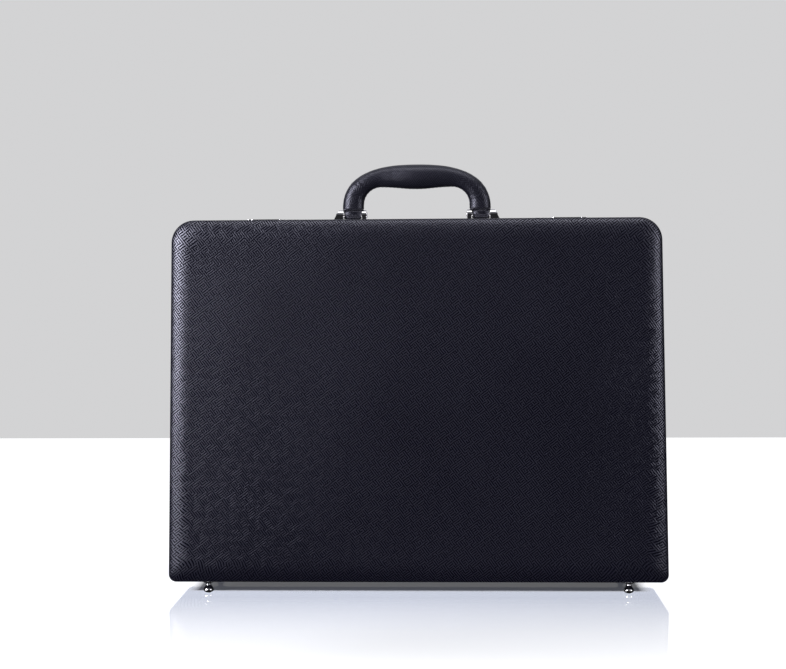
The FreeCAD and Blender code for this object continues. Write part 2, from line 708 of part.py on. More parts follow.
def make_latch_springs():
    """A folded strip spring behind each slide, against the lock body's end."""
    springs = []
    start = BUTTON_S[1] + BUTTON_TRAVEL
    end = LOCK_BODY_S[1] - LOCK_WALL
    middle = (BUTTON_Y[0] + BUTTON_Y[1]) / 2
    low = TOP - SPRING_BELOW_TOP[0]
    height = SPRING_BELOW_TOP[0] - SPRING_BELOW_TOP[1]
    for _, sign in sides():
        front_edge = []
        back_edge = []
        for index in range(SPRING_FOLDS + 1):
            x = sign * (LOCK_X + start + (end - start) * index / SPRING_FOLDS)
            y = middle + SPRING_HALF_WIDTH * (1 if index % 2 else -1)
            front_edge.append(V(x, y - SPRING_STRIP, low))
            back_edge.append(V(x, y + SPRING_STRIP, low))
        outline = Part.makePolygon(front_edge + back_edge[::-1] + front_edge[:1])
        springs.append(Part.Face(outline).extrude(V(0, 0, height)))
    parts["latch_springs"] = Part.makeCompound(springs)


def make_lock_rivets():
    """Four domed rivets that hold each lock plate to the shell."""
    rivets = []
    for _, sign in sides():
        for s in (LOCK_PLATE_S[0] + LOCK_RIVET_INSET, LOCK_PLATE_S[1] - LOCK_RIVET_INSET):
            for y in LOCK_RIVET_Y:
                x = sign * (LOCK_X + s)
                rivets.append(round_rivet(x, y, SMALL_RIVET_SHANK, SMALL_RIVET_HEAD,
                                          PLATE_TOP, TOP - LEATHER - SHELL))
    cut_from(["lock_plate_left", "lock_plate_right", "base_cover", "base_shell"], rivets)
    parts["lock_rivets"] = Part.makeCompound(rivets)


def make_strikes():
    """A notched strike plate on the lid under each hasp, with two rivets."""
    rivets = []
    for side, sign in sides():
        body = plate(across(sign, STRIKE_S), (STRIKE_FRONT_Y, LID_RIM - STRIKE_SETBACK),
                     (TOP, PLATE_TOP), HASP_CORNER)
        play = HASP_SIDE_PLAY + 0.1
        notch_s = (HASP_S[0] - play, HASP_S[1] + play)
        notch = box(across(sign, notch_s), (HASP_TIP_Y - play - 0.1, 0),
                    (TOP - 1, PLATE_TOP + 1))
        parts["strike_plate_" + side] = body.cut(notch)
        for s in STRIKE_RIVET_S:
            rivets.append(round_rivet(sign * (LOCK_X + s), STRIKE_RIVET_Y,
                                      SMALL_RIVET_SHANK, SMALL_RIVET_HEAD, PLATE_TOP,
                                      TOP - LEATHER - 2))
    cut_from(["strike_plate_left", "strike_plate_right", "lid_cover", "lid_frame"],
             rivets)
    parts["strike_rivets"] = Part.makeCompound(rivets)


# ---- Lid stays ----
def stay_place(u, v):
    """Y and Z of a point given forwards of and above the hinge axis."""
    return (PARTING - u, HINGE_Z + v)


def stay_pin_at(degrees):
    """Where the stay's sliding pin is when the lid is open by an angle."""
    turn = math.radians(degrees)
    u = STAY_PIVOT[0] * math.cos(turn) + STAY_PIVOT[1] * math.sin(turn)
    v = STAY_PIVOT[1] * math.cos(turn) - STAY_PIVOT[0] * math.sin(turn)
    lean = math.radians(STAY_LEAN + STAY_LEAN_RATE * degrees)
    return (u - STAY_LENGTH * math.sin(lean), v + STAY_LENGTH * math.cos(lean))


def offset_path(distance, steps):
    """Points beside the pin's route, at a distance to one side of it."""
    points = []
    for index in range(steps + 1):
        degrees = LID_OPEN_DEG * index / steps
        here = stay_pin_at(degrees)
        ahead = stay_pin_at(degrees + 0.5)
        behind = stay_pin_at(degrees - 0.5)
        du = ahead[0] - behind[0]
        dv = ahead[1] - behind[1]
        size = math.hypot(du, dv)
        y, z = stay_place(here[0] - distance * dv / size, here[1] + distance * du / size)
        points.append(V(0, y, z))
    return points


def route_strip(distance, x):
    """A plate along the pin's route with round ends, distance wide each way."""
    left = Part.BSplineCurve()
    left.interpolate(offset_path(distance, 16))
    right = Part.BSplineCurve()
    right.interpolate(list(reversed(offset_path(-distance, 16))))
    first = Part.LineSegment(left.EndPoint, right.StartPoint).toShape()
    last = Part.LineSegment(right.EndPoint, left.StartPoint).toShape()
    wire = Part.Wire([left.toShape(), first, right.toShape(), last])
    strip = Part.Face(wire).extrude(V(x[1] - x[0], 0, 0)).translated(V(x[0], 0, 0))
    ends = []
    for degrees in (0, LID_OPEN_DEG):
        y, z = stay_place(*stay_pin_at(degrees))
        ends.append(rod_x(distance, x, y, z))
    return strip.fuse(ends)


def make_stays():
    """Slotted guide on the base, pivot bracket on the lid and arm between."""
    screws = []
    for side, sign in sides():
        def mirrored(pair, sign=sign):
            return (sign * pair[0], sign * pair[1])

        guide_x = mirrored(STAY_GUIDE_X)
        slot_x = (guide_x[0] - sign, guide_x[1] + sign)
        guide = [route_strip(STAY_PIN_RADIUS + GUIDE_RIM, guide_x)]
        wall_x = (guide_x[1], sign * 218)
        feet = []
        for degrees, way in ((0, 1), (LID_OPEN_DEG, -1)):
            y, z = stay_place(*stay_pin_at(degrees))
            foot_y = y + GUIDE_FOOT_BACK
            foot_z = z + way * GUIDE_FOOT_BEYOND
            feet.append((foot_y, foot_z))
            guide.append(rod_x(GUIDE_FOOT_RADIUS, (guide_x[0], wall_x[1]), foot_y, foot_z))
            reach_y = (foot_y - GUIDE_FOOT_RADIUS, foot_y + GUIDE_FOOT_RADIUS)
            guide.append(box(guide_x, reach_y, (z, foot_z)))
        slot = route_strip(STAY_PIN_RADIUS + STAY_PIN_PLAY, slot_x)
        solid = fused(guide).cut(slot)
        solid = solid.cut([parts["base_lining"], parts["base_shell"]])
        solid = max(solid.Solids, key=lambda s: s.Volume)
        for y, z in feet:
            screw = rod_x(GUIDE_SCREW_RADIUS, (guide_x[0], sign * 217.5), y, z)
            head = rod_x(GUIDE_SCREW_HEAD, (guide_x[0] - sign, guide_x[0]), y, z)
            screws.append(fused([screw, head]))
        parts["stay_guide_" + side] = solid.cut(screws[-2:])
        cut_from(["base_lining", "base_shell"], screws[-2:])
        make_stay_arm(side, sign, mirrored(STAY_ARM_X))
        make_stay_bracket(side, sign)
    parts["guide_screws"] = Part.makeCompound(screws)


def make_stay_arm(side, sign, arm_x):
    """A flat arm with a pivot eye on the lid and a headed pin in the slot."""
    low = stay_place(*STAY_PIVOT)
    high = stay_place(*stay_pin_at(0))
    lean = math.degrees(math.atan2(high[0] - low[0], high[1] - low[1]))
    bar = box(arm_x, (-STAY_ARM_HALF, STAY_ARM_HALF), (0, STAY_LENGTH))
    bar.rotate(V(0, 0, 0), V(1, 0, 0), -lean)
    bar.translate(V(0, *low))
    eye = rod_x(STAY_EYE_RADIUS, arm_x, *low)
    tip = rod_x(STAY_TIP_RADIUS, arm_x, *high)
    pin = rod_x(STAY_PIN_RADIUS, (arm_x[0], sign * (STAY_GUIDE_X[1] + 0.4)), *high)
    head_x = (sign * (STAY_GUIDE_X[1] + 0.3), sign * (STAY_GUIDE_X[1] + 1.0))
    head = rod_x(STAY_PIN_HEAD, head_x, *high)
    hole = rod_x(STUD_RADIUS + RUNNING_PLAY, (arm_x[0] - sign, arm_x[1] + sign), *low)
    parts["stay_arm_" + side] = fused([bar, eye, tip, pin, head]).cut(hole)


def make_stay_bracket(side, sign):
    """A pad on the lid's side wall with the stud that the arm turns on."""
    y, z = stay_place(*STAY_PIVOT)
    pad = box((sign * 215.2, sign * 222), (y - 9, y + 3.4), (z - 13, z + 13))
    shoulder = rod_x(STUD_SHOULDER, (sign * (STAY_ARM_X[1] + 0.3), sign * 216), y, z)
    stud = rod_x(STUD_RADIUS, (sign * (STAY_ARM_X[0] - 0.3), sign * 216), y, z)
    head_x = (sign * (STAY_ARM_X[0] - 1.5), sign * (STAY_ARM_X[0] - 0.3))
    head = rod_x(STUD_HEAD, head_x, y, z)
    solid = fused([pad, shoulder, stud, head])
    solid = solid.cut([parts["lid_lining"], parts["lid_shell"], parts["lid_cover"]])
    parts["stay_bracket_" + side] = max(solid.Solids, key=lambda s: s.Volume)


# ---- Folio in the lid ----
def make_pocket(back, front):
    """A thin document pocket, open at the top."""
    outer = box(POCKET_X, (back, front), POCKET_Z)
    inner = box((POCKET_X[0] + POCKET_EDGE, POCKET_X[1] - POCKET_EDGE),
                (back + POCKET_BACK, front - POCKET_FRONT),
                (POCKET_Z[0] + POCKET_EDGE, POCKET_Z[1] + 1))
    parts["file_pocket"] = outer.cut(inner)


def make_card_pockets(front):
    """Two columns of card pockets, each with a shorter one before a taller."""
    columns = []
    for column in (-1, 1):
        middle = column * CARD_COLUMN_X
        layers = []
        for row in range(2):
            y = front + row * CARD_THICK
            z = (CARD_BOTTOM_Z + row * CARD_BOTTOM_STEP, CARD_TOP_Z - row * CARD_TOP_STEP)
            x = (middle - CARD_HALF_WIDTH, middle + CARD_HALF_WIDTH)
            layers.append(box(x, (y, y + CARD_THICK), z))
        columns.append(fused(layers))
    parts["card_pockets"] = Part.makeCompound(columns)


def make_pen_loops(front):
    """Three loops beside the card pockets, open above and below."""
    loops = []
    hole_y = (front + PEN_LOOP_SKIN, front + PEN_LOOP_DEPTH - PEN_LOOP_SKIN)
    for index in range(3):
        middle = PEN_LOOP_X + (index - 1) * PEN_LOOP_PITCH
        loop = box((middle - PEN_LOOP_HALF, middle + PEN_LOOP_HALF),
                   (front, front + PEN_LOOP_DEPTH), PEN_LOOP_Z)
        hole = box((middle - PEN_HOLE_HALF, middle + PEN_HOLE_HALF), hole_y,
                   (PEN_LOOP_Z[0] - 1, PEN_LOOP_Z[1] + 1))
        loops.append(loop.cut(hole))
    parts["pen_loops"] = Part.makeCompound(loops)


def make_folio():
    """The leather organiser that lies against the lid's inner face."""
    back = FRONT + FACE
    front = back + POCKET_DEPTH
    make_pocket(back, front)
    make_card_pockets(front)
    make_pen_loops(front)


def build():
    """Make every part in an order that lets fasteners cut their own holes."""
    make_tray("lid", FRONT, LID_RIM)
    make_tray("base", BACK, BASE_RIM)
    make_tongue()
    make_hinge()
    make_hinge_rivets("base", 1)
    make_hinge_rivets("lid", -1)
    make_feet("lid", -FOOT_Y)
    make_feet("base", FOOT_Y)
    make_handle()
    make_handle_brackets()
    for side, sign in sides():
        make_lock(side, sign)
    make_hasp_pins()
    make_latch_springs()
    make_lock_rivets()
    make_strikes()
    make_stays()
    make_folio()


def write():
    """Write one STEP file for each part."""
    os.makedirs("parts", exist_ok=True)
    for name, shape in sorted(parts.items()):
        solids = shape.Solids
        result = solids[0] if len(solids) == 1 else Part.makeCompound(solids)
        result.exportStep("parts/" + name + ".step")
        print("%-22s %2d solid %9.1f mm3 valid %s"
              % (name, len(solids), result.Volume, result.isValid()))


build()
write()
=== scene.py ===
import json
import math

import bmesh
import bpy
import numpy as np
from mathutils import Matrix, Vector, noise


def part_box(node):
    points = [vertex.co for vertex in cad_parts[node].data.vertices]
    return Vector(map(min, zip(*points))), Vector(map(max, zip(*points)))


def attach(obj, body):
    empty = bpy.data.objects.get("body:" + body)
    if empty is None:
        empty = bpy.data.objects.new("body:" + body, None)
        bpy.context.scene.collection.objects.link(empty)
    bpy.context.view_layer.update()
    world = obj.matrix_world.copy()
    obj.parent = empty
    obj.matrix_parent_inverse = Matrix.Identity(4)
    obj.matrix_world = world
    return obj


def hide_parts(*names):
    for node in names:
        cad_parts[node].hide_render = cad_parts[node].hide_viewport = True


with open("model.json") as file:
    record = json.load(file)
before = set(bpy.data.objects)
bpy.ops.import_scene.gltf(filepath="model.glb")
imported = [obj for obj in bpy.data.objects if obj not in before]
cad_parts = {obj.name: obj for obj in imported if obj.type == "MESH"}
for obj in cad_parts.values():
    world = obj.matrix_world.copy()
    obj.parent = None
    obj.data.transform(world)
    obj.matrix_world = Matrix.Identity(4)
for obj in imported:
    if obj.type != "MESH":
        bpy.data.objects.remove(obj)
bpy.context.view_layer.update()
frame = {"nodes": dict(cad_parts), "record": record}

MM = 0.001

# ---- Sizes taken from the frame ----
LID_LOW, LID_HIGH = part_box("lid_cover")
BASE_LOW, BASE_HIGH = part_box("base_cover")
BOTTOM = LID_LOW.z
TOP = LID_HIGH.z
BODY_HEIGHT = TOP - BOTTOM
HALF_BOTTOM = LID_HIGH.x
TOP_NARROWER = 6.2 * MM
FRONT = LID_LOW.y
BACK = BASE_HIGH.y
LID_RIM = LID_HIGH.y
BASE_RIM = BASE_LOW.y
MIDDLE_Z = (BOTTOM + TOP) / 2

# ---- Leather covers ----
TOP_CORNER = 20.5 * MM
BOTTOM_CORNER = 6.8 * MM
INNER_TOP_CORNER = 15 * MM
INNER_BOTTOM_CORNER = 9 * MM
ROLL_WIDTH = 19 * MM
ROLL_DEPTH = 7.5 * MM
LEATHER = 1.2 * MM
RIM_ROUND = 0.55 * MM
CROWN = 0.9 * MM
COVER_RIPPLE = 0.16 * MM
ROLL_STEPS = 14
ARC_STEPS = 9
ACROSS_STEPS = 96
UP_STEPS = 70

# ---- Handle ----
PIN_LOW, PIN_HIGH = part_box("handle_pin_right")
PIVOT_Z = (PIN_LOW.z + PIN_HIGH.z) / 2
HANDLE_Y = (PIN_LOW.y + PIN_HIGH.y) / 2
GRIP_HALF = 68.4 * MM
GRIP_FOOT = TOP + 10 * MM
GRIP_RISE = 42.2 * MM
GRIP_POWER = 2.5
GAP_HALF = 48.8 * MM
GAP_TOP = TOP + 31.5 * MM
GAP_CORNER = 16 * MM
GAP_DIP = 1.9 * MM
NECK_Z = (TOP + 8.5 * MM, TOP + 12 * MM)
NECK_IN = (2.3 * MM, 0.95 * MM)
NECK_HALF_DEPTH = 4.1 * MM
GRIP_HALF_DEPTH = 8.0 * MM
GRIP_DEEPER = 3.0 * MM
LEG_SHALLOWER = 0.7 * MM
PUCKER = 0.17 * MM
GRIP_WAVES = 0.14 * MM
SEAM_DEPTH = 0.5 * MM
SEAM_HALF_ANGLE = 0.06
GRIP_RINGS = 400
GRIP_AROUND = 60
LEG_END_RADIUS = 4.2 * MM

# ---- Inside ----
SHELL_INSET = 5.2 * MM
CLOTH = 1.0 * MM
FACE_DEPTH = 9.0 * MM
FRAME_DEPTH = 8.0 * MM
CLOTH_BEND = 5.0 * MM
CLOTH_CORNER = 4 * MM
POCKET_LEATHER = 1.2 * MM
POCKET_DIP = 3 * MM
POCKET_HEM = 14 * MM
CARD_COLUMN_X = 62 * MM
CARD_HALF = 54 * MM
PEN_LOOP_X = (120 * MM, 140 * MM, 160 * MM)
PEN_LOOP_HALF = 7 * MM
POCKET_LOW, POCKET_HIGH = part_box("file_pocket")
CARDS_LOW, CARDS_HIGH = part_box("card_pockets")
LOOPS_LOW, LOOPS_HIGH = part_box("pen_loops")

# ---- Stage, light and camera ----
CAMERA_AT = Vector((0.0362, -1.4355, 0.2801))
CAMERA_TURN = math.radians(2.335)
CAMERA_DOWN = math.radians(1.904)
CAMERA_ROLL = math.radians(-0.341)
CAMERA_LENS = 71.31
FLOOR_HALF_WIDTH = 3.0
UNDER_FLOOR = -0.09
FLOOR_FROM_CAMERA = 2.80
FLOOR_SKEW = math.radians(-0.4)
FLOOR_GLOW = 0.90
MIRROR_SHARE = 0.52
MIRROR_TINT = (1.0, 0.95, 0.80)
AMBIENT = 0.02
SKY = 0.34
GLOW = 0.32


# ---- Mesh helpers ----
def add_object(name, mesh, material=None, smooth=True):
    """Link a mesh as an object, smooth shaded, with its material."""
    obj = bpy.data.objects.new(name, mesh)
    bpy.context.scene.collection.objects.link(obj)
    if material:
        mesh.materials.append(material)
    if smooth:
        mesh.shade_smooth()
    return obj


def mesh_from(name, vertices, faces, uvs=None):
    """A mesh from points and faces, with one UV for each vertex if given."""
    mesh = bpy.data.meshes.new(name)
    mesh.from_pydata([tuple(v) for v in vertices], [], faces)
    mesh.update()
    if uvs is not None:
        layer = mesh.uv_layers.new(name="UVMap")
        flat = np.array([uvs[loop.vertex_index] for loop in mesh.loops], np.float32)
        layer.data.foreach_set("uv", flat.ravel())
    face_outwards(mesh)
    return mesh


def face_outwards(mesh):
    """Turn every face of a closed mesh to the outside."""
    work = bmesh.new()
    work.from_mesh(mesh)
    bmesh.ops.recalc_face_normals(work, faces=work.faces)
    work.to_mesh(mesh)
    work.free()


def smoothstep(low, high, value):
    """0 below low, 1 above high, and a smooth rise between."""
    t = min(max((value - low) / (high - low), 0.0), 1.0)
    return t * t * (3 - 2 * t)


def half_width(z):
    """Half the case's width at a height."""
    return HALF_BOTTOM - TOP_NARROWER * (z - BOTTOM) / BODY_HEIGHT


def corner_arc(here, before, after, radius):
    """Points of the tangent arc at a corner, from one side to the other."""
    to_before = (before - here).normalized()
    to_after = (after - here).normalized()
    half = to_before.angle(to_after) / 2
    centre = here + (to_before + to_after).normalized() * (radius / math.sin(half))
    run = radius / math.tan(half)
    start = here + to_before * run - centre
    turn = start.angle_signed(here + to_after * run - centre)
    points = []
    for index in range(2 * ARC_STEPS + 1):
        angle = -turn * index / (2 * ARC_STEPS)
        spun = Vector((
            start.x * math.cos(angle) - start.y * math.sin(angle),
            start.x * math.sin(angle) + start.y * math.cos(angle),
        ))
        points.append(centre + spun)
    return points


def outline(inset, lower, upper):
    """The case outline moved inwards, as four sides that meet mid-corner."""
    low = BOTTOM + inset
    high = TOP - inset
    wide = half_width(low) - inset
    narrow = half_width(high) - inset
    corners = [Vector(c) for c in
               ((-wide, low), (wide, low), (narrow, high), (-narrow, high))]
    radii = (lower, lower, upper, upper)
    arcs = [corner_arc(corners[i], corners[i - 1], corners[(i + 1) % 4], radii[i])
            for i in range(4)]
    sides = []
    for i, straight in enumerate((ACROSS_STEPS, UP_STEPS, ACROSS_STEPS, UP_STEPS)):
        leaving = arcs[i][ARC_STEPS:]
        reaching = arcs[(i + 1) % 4][:ARC_STEPS + 1]
        inner = [leaving[-1].lerp(reaching[0], k / straight) for k in range(1, straight)]
        sides.append(leaving + inner + reaching)
    return sides


def closed_ring(sides):
    """One loop of points from four sides that share their end points."""
    return [point for side in sides for point in side[:-1]]


def length_shares(side):
    """Each point's share of a side's length."""
    steps = [0.0] + [(b - a).length for a, b in zip(side, side[1:])]
    total = np.cumsum(steps)
    return total / total[-1]


def patch(sides):
    """A grid of points that fills four sides, as rows from bottom to top."""
    bottom, right = sides[0], sides[1]
    top, left = sides[2][::-1], sides[3][::-1]
    us = (length_shares(bottom) + length_shares(top)) / 2
    vs = (length_shares(left) + length_shares(right)) / 2
    rows = []
    for j, v in enumerate(vs):
        row = []
        for i, u in enumerate(us):
            ruled = bottom[i] * (1 - v) + top[i] * v + left[j] * (1 - u) + right[j] * u
            twice = (bottom[0] * (1 - u) + bottom[-1] * u) * (1 - v)
            twice += (top[0] * (1 - u) + top[-1] * u) * v
            row.append(ruled - twice)
        rows.append(row)
    return rows


def tray_mesh(name, profile, face_shape):
    """A closed tray from rings along a profile, filled in at both ends.

    profile holds (inset, depth, lower radius, upper radius) from the outer
    face to the inner one; face_shape adds a depth to a point of a face.
    """
    vertices = []
    faces = []
    uvs = []
    first_ring = closed_ring(outline(*[profile[0][k] for k in (0, 2, 3)]))
    widest = min(profile)
    outer_ring = closed_ring(outline(*[widest[k] for k in (0, 2, 3)]))
    outwards = [(b - a).normalized() for a, b in zip(first_ring, outer_ring)]
    along = 0.0
    before = profile[0]
    count = len(first_ring)
    for step in profile:
        inset, y, lower, upper = step
        along += math.hypot(inset - before[0], y - before[1])
        before = step
        for k, point in enumerate(closed_ring(outline(inset, lower, upper))):
            vertices.append((point.x, y + face_shape(point, inset), point.y))
            uvs.append(tuple(first_ring[k] + outwards[k] * along))
    for r in range(len(profile) - 1):
        for k in range(count):
            following = (k + 1) % count
            faces.append((r * count + k, r * count + following,
                          (r + 1) * count + following, (r + 1) * count + k))
    for ring_index in (0, len(profile) - 1):
        inset, y, lower, upper = profile[ring_index]
        rows = patch(outline(inset, lower, upper))
        add_patch(vertices, uvs, faces, rows, ring_index * count, y,
                  lambda point, inset=inset: face_shape(point, inset))
    return mesh_from(name, vertices, faces, uvs)


def add_patch(vertices, uvs, faces, rows, ring_start, y, shape):
    """Fill a ring that is already there with a grid of new inner points."""
    high = len(rows) - 1
    wide = len(rows[0]) - 1
    index = {}
    border = [(i, 0) for i in range(wide)] + [(wide, j) for j in range(high)]
    border += [(i, high) for i in range(wide, 0, -1)] + [(0, j) for j in range(high, 0, -1)]
    for k, cell in enumerate(border):
        index[cell] = ring_start + k
    for j in range(1, high):
        for i in range(1, wide):
            point = rows[j][i]
            index[(i, j)] = len(vertices)
            vertices.append((point.x, y + shape(point), point.y))
            uvs.append((point.x, point.y))
    for j in range(high):
        for i in range(wide):
            faces.append((index[(i, j)], index[(i + 1, j)],
                          index[(i + 1, j + 1)], index[(i, j + 1)]))


# ---- Materials ----
WAVE_SCALE = 0.314      # the wave texture's scale for one wave in each unit
COOL_TINT = (0.84, 0.84, 1.0, 1)
SHARP_EDGE = math.radians(32)


class Finish:
    """A Principled material and short ways to add its nodes."""

    def __init__(self, name, color, roughness, metallic=0.0, **uniform):
        self.material = bpy.data.materials.new(name)
        self.material.use_nodes = True
        self.tree = self.material.node_tree
        self.shader = self.tree.nodes["Principled BSDF"]
        self.put("Base Color", (*color, 1))
        self.put("Roughness", roughness)
        self.put("Metallic", metallic)
        for socket, value in uniform.items():
            self.put(socket.replace("_", " "), value)

    def put(self, socket, value):
        """Set one of the shader's own sockets."""
        self.shader.inputs[socket].default_value = value

    def node(self, kind, inputs=None, **settings):
        """Add a node; an input is a number, or a socket to link from."""
        made = self.tree.nodes.new(kind)
        for key, value in settings.items():
            setattr(made, key, value)
        for key, value in (inputs or {}).items():
            if isinstance(value, bpy.types.NodeSocket):
                self.tree.links.new(value, made.inputs[key])
            else:
                made.inputs[key].default_value = value
        return made

    def coords(self, output="Object", scale=(1, 1, 1), turn=(0, 0, 0)):
        """Texture coordinates in metres, scaled and turned."""
        source = self.node("ShaderNodeTexCoord").outputs[output]
        made = self.node("ShaderNodeMapping", {"Vector": source, "Scale": scale,
                                               "Rotation": turn})
        return made.outputs[0]

    def noise(self, vector, scale, detail=3.0, roughness=0.5):
        """A noise pattern; scale is in cells per metre."""
        made = self.node("ShaderNodeTexNoise", {
            "Vector": vector, "Scale": scale, "Detail": detail, "Roughness": roughness})
        return made.outputs["Fac"]

    def math(self, operation, first, second=0.0, third=0.0):
        """One arithmetic step."""
        made = self.node("ShaderNodeMath", {0: first, 1: second, 2: third},
                         operation=operation)
        return made.outputs[0]

    def remap(self, value, low, high, new_low, new_high):
        """Stretch a range of values to another, and clamp it."""
        made = self.node("ShaderNodeMapRange", {
            "Value": value, "From Min": low, "From Max": high,
            "To Min": new_low, "To Max": new_high})
        return made.outputs[0]

    def blend(self, share, first, second):
        """A colour between two colours."""
        made = self.node("ShaderNodeMix", {0: share, 6: (*first, 1), 7: (*second, 1)},
                         data_type="RGBA")
        return made.outputs[2]

    def link(self, socket, value):
        """Drive one of the shader's sockets from a node."""
        self.tree.links.new(value, self.shader.inputs[socket])

    def bump(self, height, distance):
        """Fine relief, with its full height in metres."""
        made = self.node("ShaderNodeBump", {"Height": height, "Distance": distance,
                                            "Strength": 1.0})
        self.link("Normal", made.outputs[0])


def crossed_grain(finish, pitch):
    """Height of short ridges that cross on the diagonal, as in saffiano.

    Small patches of ridges one way alternate with patches the other way.
    """
    plain = finish.coords("UV")
    patches = finish.noise(plain, 0.36 / pitch, 2)
    rows = []
    for degrees, shows in ((53, (0.0, 1.0)), (-37, (1.0, 0.0))):
        turned = finish.coords("UV", turn=(0, 0, math.radians(degrees)))
        wave = finish.node("ShaderNodeTexWave", {
            "Vector": turned, "Scale": WAVE_SCALE / pitch, "Distortion": 1.5,
            "Detail": 2.0, "Detail Scale": 1.2, "Detail Roughness": 0.6})
        crisp = finish.remap(wave.outputs["Fac"], 0.2, 0.8, 0.0, 1.0)
        present = finish.remap(patches, 0.44, 0.56, *shows)
        rows.append(finish.math("MULTIPLY", crisp, present))
    ridges = finish.math("ADD", *rows)
    pebble = finish.noise(plain, 1.3 / pitch, 3)
    return finish.math("MULTIPLY_ADD", pebble, 0.2, finish.math("MULTIPLY", ridges, 0.8))


def leather(name, color, lighter, pitch, depth, roughness, shine):
    """Grained leather: ridges catch the light, valleys are darker and duller."""
    finish = Finish(name, color, roughness)
    finish.put("Specular Tint", COOL_TINT)
    grain = crossed_grain(finish, pitch)
    broad = finish.noise(finish.coords(), 9.0, 4)
    lift = finish.math("MULTIPLY_ADD", broad, 0.25, finish.math("MULTIPLY", grain, 0.75))
    finish.link("Base Color", finish.blend(lift, color, lighter))
    uneven = finish.math("MULTIPLY_ADD", broad, 0.10, roughness + 0.03)
    finish.link("Roughness", finish.math("MULTIPLY_ADD", grain, -0.12, uneven))
    finish.link("Specular IOR Level", finish.remap(grain, 0.18, 0.85, *shine))
    finish.bump(grain, depth)
    return finish.material


def plated(name, color, roughness, scratch):
    """Bright or satin metal with fine handling marks."""
    finish = Finish(name, color, roughness, 1.0)
    marks = finish.noise(finish.coords(scale=(1, 1, 6)), 900, 4, 0.7)
    clouds = finish.noise(finish.coords(), 60, 3)
    rough = finish.math("MULTIPLY_ADD", marks, scratch, roughness)
    finish.link("Roughness", finish.math("MULTIPLY_ADD", clouds, scratch, rough))
    dim = tuple(c * 0.9 for c in color)
    finish.link("Base Color", finish.blend(clouds, dim, color))
    finish.bump(marks, 0.004 * MM)
    return finish.material


def brushed(name, color, roughness, direction):
    """Metal with fine parallel lines along one axis."""
    finish = Finish(name, color, roughness, 1.0)
    lines = finish.noise(finish.coords(scale=direction), 1600, 3, 0.6)
    clouds = finish.noise(finish.coords(), 25, 2)
    finish.link("Roughness", finish.math("MULTIPLY_ADD", lines, 0.18, roughness))
    dim = tuple(c * 0.82 for c in color)
    finish.link("Base Color", finish.blend(clouds, dim, color))
    finish.bump(lines, 0.01 * MM)
    return finish.material


def speckled(name, color, lighter, roughness, scale, depth, **uniform):
    """Moulded, painted or foam surface with a fine uneven texture."""
    finish = Finish(name, color, roughness, **uniform)
    fine = finish.noise(finish.coords(), scale, 4, 0.6)
    broad = finish.noise(finish.coords(), 20, 3)
    finish.link("Base Color", finish.blend(broad, color, lighter))
    finish.link("Roughness", finish.math("MULTIPLY_ADD", fine, 0.2, roughness - 0.1))
    finish.bump(fine, depth)
    return finish.material


def cloth(name, color, lighter, thread):
    """Brushed cloth: a fine weave under a soft nap."""
    finish = Finish(name, color, 0.92, Sheen_Weight=0.35, Sheen_Roughness=0.4)
    weave = []
    for turn in ((0, 0, 0), (0, math.radians(90), 0)):
        wave = finish.node("ShaderNodeTexWave", {
            "Vector": finish.coords(turn=turn), "Scale": WAVE_SCALE / thread,
            "Distortion": 0.8, "Detail": 1.0})
        weave.append(wave.outputs["Fac"])
    threads = finish.math("MAXIMUM", *weave)
    nap = finish.noise(finish.coords(), 1500, 4, 0.7)
    broad = finish.noise(finish.coords(), 14, 3)
    height = finish.math("MULTIPLY_ADD", nap, 0.7, finish.math("MULTIPLY", threads, 0.5))
    share = finish.math("MULTIPLY_ADD", nap, 0.6, finish.math("MULTIPLY", broad, 0.4))
    finish.link("Base Color", finish.blend(share, color, lighter))
    finish.bump(height, 0.12 * MM)
    return finish.material


MATERIALS = {
    "case_leather": leather("case_leather", (0.0006, 0.0006, 0.002), (0.005, 0.0048, 0.011),
                            1.95 * MM, 0.12 * MM, 0.35, (0.0, 1.45)),
    "handle_leather": leather("handle_leather", (0.002, 0.002, 0.004),
                              (0.011, 0.0107, 0.018), 1.5 * MM, 0.10 * MM, 0.33,
                              (0.30, 0.85)),
    "folio_leather": leather("folio_leather", (0.018, 0.018, 0.023), (0.05, 0.049, 0.058),
                             1.1 * MM, 0.08 * MM, 0.5, (0.30, 0.85)),
    "shell_board": speckled("shell_board", (0.03, 0.03, 0.032), (0.05, 0.05, 0.052),
                            0.7, 700, 0.05 * MM),
    "foam": speckled("foam", (0.2, 0.2, 0.21), (0.28, 0.28, 0.29), 0.9, 1500, 0.2 * MM),
    "lining_cloth": cloth("lining_cloth", (0.085, 0.083, 0.098), (0.15, 0.147, 0.17),
                          0.45 * MM),
    "frame_aluminium": brushed("frame_aluminium", (0.60, 0.61, 0.64), 0.28, (1, 1, 1)),
    "chrome": plated("chrome", (0.86, 0.85, 0.87), 0.06, 0.05),
    "steel": brushed("steel", (0.52, 0.52, 0.54), 0.24, (0.05, 1, 1)),
    "black_steel": speckled("black_steel", (0.012, 0.012, 0.013), (0.02, 0.02, 0.022),
                            0.32, 1200, 0.02 * MM, Coat_Weight=0.4),
    "wheel_plastic": speckled("wheel_plastic", (0.012, 0.012, 0.013),
                              (0.02, 0.02, 0.021), 0.3, 900, 0.01 * MM),
    "thread": speckled("thread", (0.10, 0.10, 0.12), (0.16, 0.16, 0.19), 0.6, 2500,
                       0.08 * MM, Sheen_Weight=0.3),
    "ivory_paint": speckled("ivory_paint", (0.72, 0.70, 0.64), (0.80, 0.78, 0.72), 0.4,
                            1200, 0.01 * MM),
}


